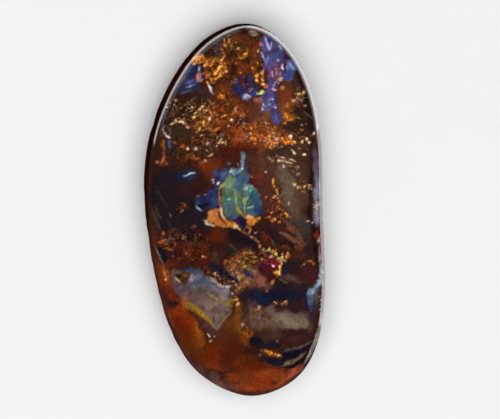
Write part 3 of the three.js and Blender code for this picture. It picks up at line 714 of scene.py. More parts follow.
# Veins, silky streaks and scratches, and a few painted highlights along the rim. Each row is a tapering line:
# hex, points, half width and strength.
STREAKS = [
    ("d8d0c8", [(-2.95, 14.6), (-2.75, 14.1), (-2.45, 13.4)], 0.13, 1.0),
    ("7870a4", [(-2.5, 13.5), (-2.2, 13.2)], 0.08, 0.8),
    ("a8661e", [(-2.6, 16.8), (-2.2, 17.25), (-1.7, 17.05), (-1.3, 17.2)], 0.14, 0.85),
    ("8e5218", [(-1.3, 17.1), (-1.0, 17.7), (-0.9, 18.1)], 0.14, 0.7),
    ("b8782c", [(-1.9, 16.2), (-1.4, 16.5), (-0.8, 16.8)], 0.15, 0.85),
    ("b87a2c", [(-2.3, 15.5), (-1.9, 15.9), (-1.5, 16.2)], 0.15, 0.85),
    ("b07024", [(-2.8, 15.2), (-2.3, 14.7), (-1.9, 15.1), (-1.9, 15.6)], 0.14, 0.85),
    ("b87c34", [(-1.7, 15.2), (-1.3, 15.6), (-1.0, 16.0), (-0.7, 15.8)], 0.12, 0.8),
    ("9a5c28", [(-0.75, 19.15), (-0.5, 19.45), (-0.15, 19.35), (-0.15, 19.05), (-0.5, 18.95)], 0.1, 0.85),
    ("a0601c", [(0.4, 17.9), (0.55, 17.5), (0.9, 17.3), (1.25, 17.55), (1.5, 18.0),
                (1.6, 18.35)], 0.13, 0.85),
    ("d08c3c", [(1.15, 17.75), (1.45, 18.0)], 0.15, 0.9),
    ("8a5420", [(0.2, 18.45), (0.6, 18.5), (0.9, 18.2)], 0.1, 0.7),
    ("a098cc", [(3.55, 19.9), (3.75, 19.3), (4.1, 18.3)], 0.15, 0.95),
    ("a8a2cc", [(4.35, 19.15), (4.2, 18.8), (4.1, 18.3)], 0.1, 0.9),
    ("8e86bc", [(3.15, 18.1), (3.4, 17.5), (3.7, 16.7)], 0.13, 0.8),
    ("6a80c4", [(3.95, 17.6), (3.8, 16.9)], 0.15, 0.8),
    ("a8c0e4", [(5.0, 18.85), (5.25, 18.75), (5.45, 18.4)], 0.1, 0.9),
    ("a4b0d8", [(6.25, 17.05), (6.6, 16.4), (7.0, 16.1)], 0.12, 0.7),
    ("b0a0b4", [(4.9, 14.9), (4.7, 14.5), (4.5, 14.0)], 0.06, 0.9),
    ("8c8ac0", [(-5.5, 13.95), (-5.0, 14.15), (-4.4, 14.3)], 0.08, 0.9),
    ("5a64a0", [(-5.4, 14.45), (-4.6, 14.75)], 0.09, 0.8),
    ("6a6a8a", [(-6.1, 13.3), (-5.4, 13.45), (-4.9, 13.75)], 0.07, 0.8),
    ("d4d6e4", [(-5.8, 3.85), (-5.2, 4.05), (-4.35, 4.3)], 0.09, 0.95),
    ("4a4654", [(-5.2, 3.55), (-4.4, 3.75)], 0.07, 0.7),
    ("a89c98", [(-7.85, 9.7), (-8.1, 9.25), (-7.95, 8.8), (-7.7, 8.45), (-7.35, 8.2)], 0.08, 0.95),
    ("f0e8e4", [(-7.75, 8.5), (-7.35, 8.22)], 0.1, 0.9),
    ("625c5c", [(-7.6, 9.6), (-7.3, 9.2), (-7.25, 8.8), (-7.5, 8.55)], 0.09, 0.8),
    ("8e4c1c", [(-8.0, 8.0), (-8.15, 7.4), (-7.9, 6.95)], 0.2, 0.85),
    ("7c3c18", [(-8.15, 6.7), (-7.95, 6.3)], 0.16, 0.8),
    ("9a5420", [(-7.95, 6.2), (-8.1, 5.7), (-8.4, 5.2)], 0.18, 0.85),
    ("8a4a1e", [(-7.95, 5.7), (-7.6, 5.15)], 0.13, 0.8),
    ("6e3414", [(-8.6, 5.1), (-7.9, 5.05)], 0.1, 0.7),
    ("6e3416", [(-8.4, 8.9), (-8.15, 8.2)], 0.12, 0.6),
    ("8e4220", [(-6.85, 7.8), (-6.5, 7.45)], 0.15, 0.85),
    ("9a4a20", [(-6.2, 7.2), (-5.75, 7.3), (-5.6, 7.1)], 0.15, 0.85),
    ("a85e30", [(-5.0, 6.0), (-4.5, 5.85), (-3.9, 5.85)], 0.1, 0.9),
    ("8a4418", [(-5.4, 6.15), (-4.9, 6.35), (-4.5, 6.1)], 0.2, 0.75),
    ("6a3014", [(-5.8, 5.5), (-5.3, 5.9)], 0.12, 0.6),
    ("a89a34", [(-1.65, 2.4), (-1.4, 2.75), (-1.15, 3.0)], 0.2, 0.9),
    ("8a8a4c", [(-1.2, 3.0), (-0.8, 3.5), (-0.45, 4.0)], 0.2, 0.7),
    ("9c5c38", [(-1.72, 2.4), (-1.68, 1.2), (-1.55, 0.3)], 0.14, 0.95),
    ("c88a66", [(-1.62, 1.5), (-1.55, 0.9)], 0.09, 0.8),
    ("6a2810", [(-1.8, -0.1), (-1.6, -0.7), (-1.15, -1.45), (-0.85, -1.75)], 0.11, 0.85),
    ("f0ccbc", [(-1.5, 0.25), (-1.35, -0.4), (-1.05, -1.05)], 0.1, 0.95),
    ("98a878", [(0.1, 1.8), (0.25, 1.2), (0.32, 0.9)], 0.13, 0.8),
    ("94889a", [(0.3, 1.0), (0.38, 0.5)], 0.1, 0.8),
    ("a8ac58", [(1.25, 1.45), (1.15, 0.9)], 0.17, 0.9),
    ("b4b88c", [(1.6, 1.7), (1.35, 1.0), (1.2, 0.2), (1.3, -0.5)], 0.1, 0.85),
    ("b0a022", [(0.4, 0.35), (0.6, -0.1), (0.9, -0.5)], 0.19, 0.9),
    ("7e843c", [(0.8, -0.4), (1.1, -0.7), (1.4, -0.95)], 0.14, 0.8),
    ("b8d0c8", [(1.45, 0.12), (2.2, 0.4)], 0.07, 0.9),
    ("7c8c9c", [(0.85, 6.6), (1.1, 6.0), (1.0, 5.2), (0.95, 4.8)], 0.13, 0.8),
    ("a8b8c8", [(-0.3, 4.75), (-0.1, 4.4), (0.1, 4.0)], 0.12, 0.7),
    ("98a8b8", [(0.9, 4.75), (0.6, 4.4), (0.35, 4.2)], 0.12, 0.7),
    ("b0c4e0", [(-4.35, 0.45), (-4.05, 0.1), (-3.6, -0.1)], 0.1, 0.95),
    ("8a94bc", [(-4.25, 1.55), (-3.8, 1.7)], 0.07, 0.8),
    ("b08c98", [(-3.5, 1.75), (-3.1, 1.9)], 0.07, 0.8),
    ("e0c4b4", [(-3.35, -1.15), (-3.2, -1.6), (-2.7, -1.75), (-2.1, -1.9)], 0.11, 0.95),
    ("b08040", [(-0.3, -1.95), (0.3, -2.0), (0.7, -2.3), (1.1, -2.5)], 0.12, 0.9),
    ("b07858", [(1.2, -2.2), (1.2, -2.6), (1.5, -2.8), (1.85, -2.6), (1.95, -2.2), (1.6, -2.0),
                (1.3, -2.1)], 0.1, 0.9),
    ("9a7048", [(1.5, -1.7), (1.6, -2.0)], 0.1, 0.8),
    ("645a56", [(-0.7, -3.9), (-0.2, -4.2), (0.2, -4.7)], 0.06, 0.9),
    ("1c1422", [(-2.3, -6.4), (-1.3, -7.0), (-0.5, -7.7), (0.5, -8.4)], 0.32, 0.85),
    ("6a3c1e", [(0.9, -2.4), (1.6, -2.9), (2.2, -3.2), (2.8, -3.6), (3.0, -4.3), (3.6, -4.8)], 0.2, 0.7),
    ("d8ac68", [(5.35, -5.6), (5.5, -6.2), (5.35, -6.8), (5.25, -7.5)], 0.11, 0.85),
    ("5e360e", [(5.5, -4.3), (6.0, -4.1), (6.4, -4.6)], 0.22, 0.65),
    ("7a5444", [(3.1, -4.6), (3.6, -5.0), (3.9, -5.5)], 0.2, 0.6),
    ("241008", [(3.3, -5.1), (3.7, -5.6)], 0.1, 0.7),
    ("2c2450", [(1.05, -7.05), (1.5, -7.4), (2.1, -7.85)], 0.17, 0.85),
    ("807864", [(1.6, -6.9), (2.2, -7.1), (2.5, -7.45)], 0.16, 0.6),
    ("b08c3c", [(0.8, -4.95), (1.5, -4.9), (2.4, -4.95)], 0.08, 0.95),
    ("a07c38", [(1.5, -5.0), (1.1, -5.2), (0.8, -5.5)], 0.07, 0.8),
    ("7a5240", [(5.2, -2.5), (6.2, -3.0), (7.1, -3.6), (7.8, -4.2)], 0.27, 0.65),
    ("6c4434", [(5.8, -1.2), (6.6, -1.9), (7.3, -2.7), (7.8, -3.6), (7.9, -4.3)], 0.34, 0.6),
    ("260a0c", [(6.2, -2.5), (6.8, -2.9), (7.2, -3.2)], 0.12, 0.6),
    ("6c3812", [(7.0, -4.25), (7.5, -4.45), (7.9, -4.3)], 0.32, 0.75),
    ("5e4028", [(8.0, -4.0), (8.5, -3.9)], 0.18, 0.7),
    ("70605a", [(5.1, -7.85), (5.6, -8.2), (6.2, -8.4)], 0.07, 0.8),
    ("9a6c30", [(7.7, -6.5), (8.1, -6.2), (8.6, -5.9), (9.0, -6.0)], 0.1, 0.6),
    ("8a5a2a", [(8.9, -5.7), (9.1, -6.1), (9.4, -6.2)], 0.09, 0.8),
    ("7c6a40", [(-3.0, -9.6), (-1.7, -10.4), (-0.5, -11.1)], 0.22, 0.7),
    ("8c6a1c", [(-0.9, -10.9), (-0.3, -10.6), (-0.25, -11.1)], 0.25, 0.75),
    ("8c5c18", [(-5.6, -10.7), (-4.4, -11.45), (-3.2, -12.5)], 0.45, 0.5),
    ("8c6a12", [(-5.3, -10.75), (-4.4, -11.3), (-3.3, -12.3), (-2.5, -13.1)], 0.27, 0.9),
    ("7c6448", [(-2.6, -13.0), (-2.1, -13.6)], 0.16, 0.7),
    ("4e4a40", [(-9.4, 0.1), (-9.05, -0.9), (-8.4, -2.2)], 0.24, 0.5),
    ("8a5018", [(3.0, -16.2), (4.2, -16.6), (5.5, -17.0)], 0.28, 0.6),
    ("241006", [(-3.1, -15.3), (-3.35, -15.8), (-3.2, -16.2)], 0.12, 0.7),
    ("806660", [(-0.35, -11.8), (-0.9, -12.3), (-1.5, -13.1), (-2.0, -13.8)], 0.1, 0.8),
    ("c4a484", [(-6.75, -7.7), (-6.5, -8.0), (-6.1, -8.35)], 0.12, 0.9),
    ("74786e", [(-9.1, -4.0), (-8.75, -4.8), (-8.4, -5.6), (-8.1, -6.2)], 0.09, 0.8),
    ("12121e", [(-8.55, -4.3), (-8.1, -4.9), (-7.9, -5.5), (-8.0, -6.0)], 0.38, 0.95),
    ("4c4038", [(-9.0, 0.6), (-8.7, -0.4), (-8.3, -1.1)], 0.14, 0.6),
    ("3e342e", [(-7.7, -1.2), (-6.7, -2.5), (-5.6, -3.5), (-4.2, -4.2)], 0.2, 0.6),
    ("352e2a", [(-9.0, 2.6), (-8.3, 1.4), (-7.4, 0.2)], 0.14, 0.6),
    ("8a4a38", [(-7.9, -11.4), (-7.5, -12.2), (-7.0, -13.3)], 0.12, 0.6),
    ("56544a", [(5.9, -16.3), (7.4, -16.0), (8.3, -15.7), (9.0, -15.2)], 0.11, 0.9),
    ("0c0c10", [(5.6, -18.25), (7.0, -18.1), (8.1, -17.3), (8.7, -16.3)], 0.16, 0.95),
    ("8a8470", [(6.1, -17.8), (6.8, -17.45)], 0.12, 0.4),
    ("7c7466", [(5.3, -12.2), (6.2, -12.6), (7.2, -13.3)], 0.09, 0.6),
    ("8c5c2c", [(0.5, -13.6), (0.8, -14.1), (1.3, -14.4)], 0.12, 0.6),
    ("a06a4c", [(6.3, -18.6), (6.8, -19.1)], 0.08, 0.7),
    # Painted highlight: the pale line along the lower right rim
    ("989390", [(10.2, -12.0), (10.1, -13.0), (9.9, -14.0), (9.57, -15.0), (9.2, -16.0), (8.7, -17.0),
                (8.25, -17.8)], 0.22, 0.85),
    ("86604f", [(8.2, -17.9), (7.75, -18.6), (7.25, -19.15)], 0.14, 0.7),
    # Painted highlight on the top rim, where the mirrored boxes leave a gap
    ("98806c", [(1.9, 20.35), (2.3, 20.25), (2.7, 20.1)], 0.3, 0.8),
    ("70605c", [(1.6, 20.5), (1.9, 20.2), (2.3, 19.9)], 0.12, 0.8),
    ("6c5c58", [(8.1, 11.3), (8.6, 11.0), (9.0, 10.6)], 0.07, 0.8),
    ("e0bc90", [(5.0, 5.75), (5.5, 5.66), (5.95, 5.68)], 0.08, 0.9),
    ("e4bc8c", [(5.85, 5.5), (6.3, 5.48), (6.7, 5.38)], 0.085, 0.9),
    ("d0ac88", [(5.35, 6.05), (5.6, 6.02), (5.95, 5.98)], 0.075, 0.85),
    ("d8b084", [(6.35, 5.85), (6.75, 5.72), (7.1, 5.52)], 0.08, 0.9),
    ("a08468", [(3.9, 6.15), (4.1, 5.88), (4.4, 5.72)], 0.08, 0.7),
    ("5c5458", [(8.8, 8.4), (9.2, 8.8)], 0.1, 0.7),
    ("a87a44", [(-4.9, 10.5), (-4.2, 10.75), (-3.7, 10.9), (-3.2, 11.1)], 0.12, 0.8),
    ("c09058", [(-4.2, 11.3), (-3.8, 11.6), (-3.5, 11.85)], 0.13, 0.8),
    ("b48448", [(-3.5, 11.4), (-2.9, 11.3)], 0.11, 0.8),
    ("98642a", [(-3.9, 10.8), (-3.5, 10.4), (-3.0, 10.6)], 0.18, 0.75),
    ("b0641e", [(-3.6, 10.2), (-3.3, 9.7)], 0.24, 0.8),
    ("b07830", [(-4.2, 10.0), (-3.8, 9.95)], 0.13, 0.8),
    ("985432", [(-4.4, 9.6), (-3.9, 9.7)], 0.16, 0.7),
    ("a0642c", [(-4.6, 9.4), (-4.0, 9.3), (-3.7, 9.1)], 0.15, 0.8),
    ("80482a", [(-5.3, 9.7), (-4.7, 9.4)], 0.15, 0.7),
    ("8a5024", [(-3.1, 10.9), (-2.8, 10.6), (-3.0, 10.2)], 0.13, 0.7),
    ("a87450", [(-2.6, 10.8), (-2.65, 10.4)], 0.09, 0.8),
    ("8a461a", [(-2.9, 9.1), (-2.2, 9.1), (-1.8, 9.4), (-1.5, 9.5)], 0.18, 0.8),
    ("b8622a", [(-2.2, 9.0), (-1.9, 9.3)], 0.11, 0.8),
    ("84441c", [(-1.9, 9.8), (-1.2, 10.2), (-0.7, 10.4)], 0.24, 0.6),
    ("8e4e20", [(-2.6, 11.8), (-2.0, 12.0)], 0.18, 0.7),
    ("a0541c", [(-1.9, 12.8), (-1.6, 13.2), (-1.2, 13.0)], 0.2, 0.8),
    ("c06e2a", [(-1.45, 12.9), (-1.1, 13.2)], 0.14, 0.8),
    ("a05a26", [(-1.3, 11.0), (-0.9, 11.2)], 0.18, 0.8),
    ("b06c30", [(-1.2, 10.7), (-0.9, 10.8)], 0.13, 0.8),
    ("984e2c", [(-0.5, 10.9), (0.0, 11.1)], 0.15, 0.75),
    ("864a1a", [(-0.4, 11.4), (0.3, 11.2), (0.9, 11.2)], 0.18, 0.7),
    ("8e4a1a", [(-0.5, 12.5), (0.0, 12.8)], 0.18, 0.6),
    ("64452e", [(-7.0, 10.2), (-7.1, 11.0), (-7.05, 11.6)], 0.1, 0.7),
    ("76623f", [(-5.7, 12.0), (-5.3, 12.1), (-4.9, 12.3), (-4.5, 12.1)], 0.09, 0.8),
    ("584838", [(-6.2, 12.2), (-5.5, 11.9)], 0.08, 0.7),
    ("644a34", [(-6.7, 11.2), (-6.2, 11.2)], 0.1, 0.6),
    ("645030", [(-5.8, 10.9), (-5.2, 10.9)], 0.08, 0.7),
    ("70543e", [(-7.5, 10.7), (-7.0, 10.8)], 0.08, 0.7),
    ("825030", [(-6.8, 10.5), (-6.4, 10.4)], 0.11, 0.7),
    ("926644", [(-5.9, 10.3), (-5.4, 10.3)], 0.1, 0.7),
    ("743c22", [(-6.7, 12.7), (-6.3, 12.4)], 0.11, 0.7),
    ("583622", [(-6.4, 12.0), (-6.0, 12.6)], 0.1, 0.6),
    ("8a6a68", [(-2.2, 11.3), (-1.8, 10.8)], 0.08, 0.9),
    ("887068", [(-1.55, 8.9), (-1.2, 8.4)], 0.08, 0.8),
    ("887a70", [(6.3, 5.15), (6.7, 4.95)], 0.07, 0.6),
    ("948678", [(6.9, 5.0), (7.3, 4.7)], 0.07, 0.6),
    ("80726a", [(6.7, 4.6), (7.0, 4.3)], 0.07, 0.6),
    ("8c7c72", [(7.2, 4.3), (7.5, 4.0)], 0.07, 0.6),
    ("847266", [(5.2, 4.9), (5.5, 4.7)], 0.07, 0.5),
    ("e4d8d4", [(9.05, 0.62), (9.4, 0.5), (9.85, 0.55)], 0.08, 0.85),
    ("dcd0cc", [(9.15, 0.28), (9.5, 0.35), (9.8, 0.15)], 0.08, 0.8),
    ("e8dcd8", [(9.5, 0.95), (9.65, 0.5), (9.55, 0.05)], 0.08, 0.85),
    ("d8ccc8", [(9.75, 0.95), (9.88, 0.4)], 0.07, 0.8),
    ("3a1408", [(-1.6, -0.3), (-1.5, -0.7), (-1.4, -1.05)], 0.1, 0.85),
    ("4a2414", [(-1.2, 0.2), (-1.15, -0.4), (-1.05, -0.7)], 0.07, 0.7),
    ("9a3c10", [(-1.2, -1.2), (-0.85, -1.75)], 0.15, 0.7),
    ("a0481c", [(-2.3, -0.5), (-1.9, -0.9), (-1.8, -1.3)], 0.1, 0.5),
    ("b8601c", [(1.6, -1.1), (2.0, -1.3), (2.2, -1.6)], 0.18, 0.7),
    ("7a3a14", [(2.45, -0.95), (2.7, -1.2), (2.6, -1.5)], 0.14, 0.7),
    ("e8c0a0", [(1.55, -0.75), (1.9, -0.65), (2.3, -0.8)], 0.09, 0.7),
    ("a8642c", [(3.5, 8.7), (3.8, 8.2), (3.9, 7.7)], 0.2, 0.7),
    ("c0823e", [(3.7, 8.4), (4.1, 8.1), (4.2, 7.8)], 0.1, 0.8),
    ("b47c5c", [(4.4, 8.4), (4.8, 8.2), (4.9, 7.8)], 0.2, 0.7),
    ("b06828", [(4.3, 7.8), (4.5, 7.2)], 0.15, 0.8),
    ("9a5c26", [(3.9, 7.3), (4.4, 7.0)], 0.12, 0.7),
    ("b87018", [(5.4, 8.4), (5.8, 8.0), (6.1, 7.5)], 0.13, 0.8),
    ("a86418", [(5.9, 8.5), (6.3, 7.9)], 0.1, 0.8),
    ("3a1e10", [(5.6, 8.5), (6.0, 7.9)], 0.07, 0.7),
    ("b87830", [(6.2, 7.75), (6.6, 7.9), (7.1, 7.8)], 0.13, 0.8),
    ("8088b4", [(3.1, 11.8), (3.7, 11.95), (4.3, 12.3)], 0.08, 0.7),
    ("7880b4", [(3.2, 11.45), (3.9, 11.5), (4.5, 11.8)], 0.07, 0.6),
    ("9098c4", [(3.8, 12.5), (4.2, 12.9)], 0.07, 0.7),
    ("6a74b0", [(4.4, 12.9), (4.6, 12.2), (4.9, 11.6)], 0.07, 0.5),
    ("5c6494", [(4.7, 11.2), (4.9, 10.4)], 0.09, 0.5),
]

# Granular ironstone. Each row is an oval where grains of one colour lie: hex, middle x and y, half lengths,
# turn in degrees, softness and the share of grains that are there.
GRAIN_FIELDS = [
    ("6e3c18", 0.6, 17.3, 3.0, 3.2, 0, 0.8, 0.4),
    ("d87832", -2.2, 16.1, 1.25, 1.7, 15, 0.4, 0.75),
    ("c8803a", -0.5, 19.2, 0.9, 0.6, 30, 0.3, 0.6),
    ("9a5c24", 1.0, 18.0, 0.9, 0.6, 0, 0.3, 0.4),
    ("d08030", 2.9, 15.1, 0.6, 0.9, 0, 0.3, 0.7),
    ("a08090", 4.9, 15.6, 0.7, 1.2, 0, 0.3, 0.55),
    ("c87030", -1.3, 13.1, 0.8, 0.5, 0, 0.3, 0.7),
    ("a45c20", -1.0, 11.4, 1.6, 1.3, 0, 0.5, 0.5),
    ("b06a30", -3.6, 10.4, 1.4, 1.2, 20, 0.5, 0.6),
    ("6c4832", -5.6, 11.2, 2.2, 1.4, 5, 0.5, 0.4),
    ("98582a", 0.6, 11.4, 1.2, 1.0, 0, 0.5, 0.35),
    ("6a3e24", -3.0, 8.2, 2.8, 1.4, 0, 0.6, 0.4),
    ("b05a1c", 0.2, 9.2, 1.2, 0.9, 0, 0.4, 0.4),
    ("dc8e46", 3.4, 8.7, 2.8, 1.4, -6, 0.5, 0.62),
    ("d89a60", 4.5, 8.0, 1.2, 0.8, 0, 0.4, 0.5),
    ("a0683c", 7.4, 12.6, 0.9, 1.4, 0, 0.4, 0.45),
    ("8a6850", 5.8, 5.9, 1.8, 0.7, 0, 0.4, 0.15),
    ("7a5034", 7.2, 7.8, 1.8, 1.2, 0, 0.5, 0.2),
    ("8a5028", 4.9, 1.6, 0.6, 1.8, -10, 0.3, 0.3),
    ("b06a34", 4.6, -0.8, 1.6, 0.6, 0, 0.4, 0.45),
    ("663c22", -5.0, 6.6, 2.2, 1.4, 0, 0.5, 0.35),
    ("7c4026", -5.6, -4.0, 3.0, 2.0, -25, 0.6, 0.5),
    ("7a4830", -5.6, 0.4, 0.9, 0.6, 0, 0.3, 0.5),
    ("b48c5c", 0.3, -7.3, 1.4, 1.7, -30, 0.5, 0.6),
    ("a87c54", 0.8, -9.1, 1.1, 0.7, 20, 0.4, 0.5),
    ("b07c38", 1.5, -5.7, 1.6, 0.8, 0, 0.4, 0.6),
    ("c8903c", 4.9, -5.1, 1.0, 0.7, -35, 0.3, 0.3),
    ("c88438", 5.2, -6.6, 0.4, 1.3, 8, 0.2, 0.4),
    ("a04030", 4.0, -6.2, 1.1, 1.0, 0, 0.4, 0.4),
    ("907060", 3.6, -8.7, 0.8, 0.7, 0, 0.4, 0.4),
    ("b08060", -2.2, -7.4, 1.1, 0.5, -25, 0.3, 0.6),
    ("c08c44", 0.0, -10.6, 0.6, 0.8, 0, 0.3, 0.6),
    ("a46028", 2.9, -3.2, 1.2, 0.6, -38, 0.3, 0.5),
    ("6c5048", 2.6, -12.4, 1.8, 1.3, 0, 0.4, 0.15),
    ("8e5a24", 1.2, -13.6, 0.8, 0.9, 0, 0.3, 0.5),
    ("b06c28", 4.4, -16.6, 1.0, 0.4, -12, 0.2, 0.45),
    ("a8683c", 5.4, -10.75, 0.9, 0.25, 0, 0.12, 0.2),
    ("c08040", 2.9, -11.2, 0.6, 0.4, -20, 0.2, 0.6),
    ("6a5450", -2.0, -19.3, 1.2, 0.7, -22, 0.3, 0.15),
]

# Cream threads in the dark ironstone: middle x and y, half lengths, turn, softness and density
THREAD_FIELDS = [
    (-5.0, 11.3, 2.8, 1.3, 6, 0.5, 0.62),
    (-3.4, 10.2, 1.6, 1.2, 0, 0.5, 0.68),
    (-2.4, 7.7, 2.0, 1.3, 0, 0.5, 0.5),
    (0.2, 10.6, 1.2, 1.2, 0, 0.4, 0.45),
    (5.6, 5.8, 1.9, 0.7, 0, 0.3, 0.35),
    (7.2, 7.9, 1.8, 1.2, 0, 0.4, 0.3),
    (7.6, 12.8, 0.8, 1.0, 0, 0.3, 0.6),
    (7.8, 2.6, 1.2, 0.5, 0, 0.3, 0.6),
    (-1.2, 18.8, 1.2, 1.0, 30, 0.4, 0.35),
    (4.6, -5.2, 1.2, 0.9, -30, 0.3, 0.4),
    (0.4, -7.6, 1.4, 1.8, -30, 0.4, 0.3),
    (1.6, -5.3, 1.6, 0.8, -10, 0.3, 0.5),
]

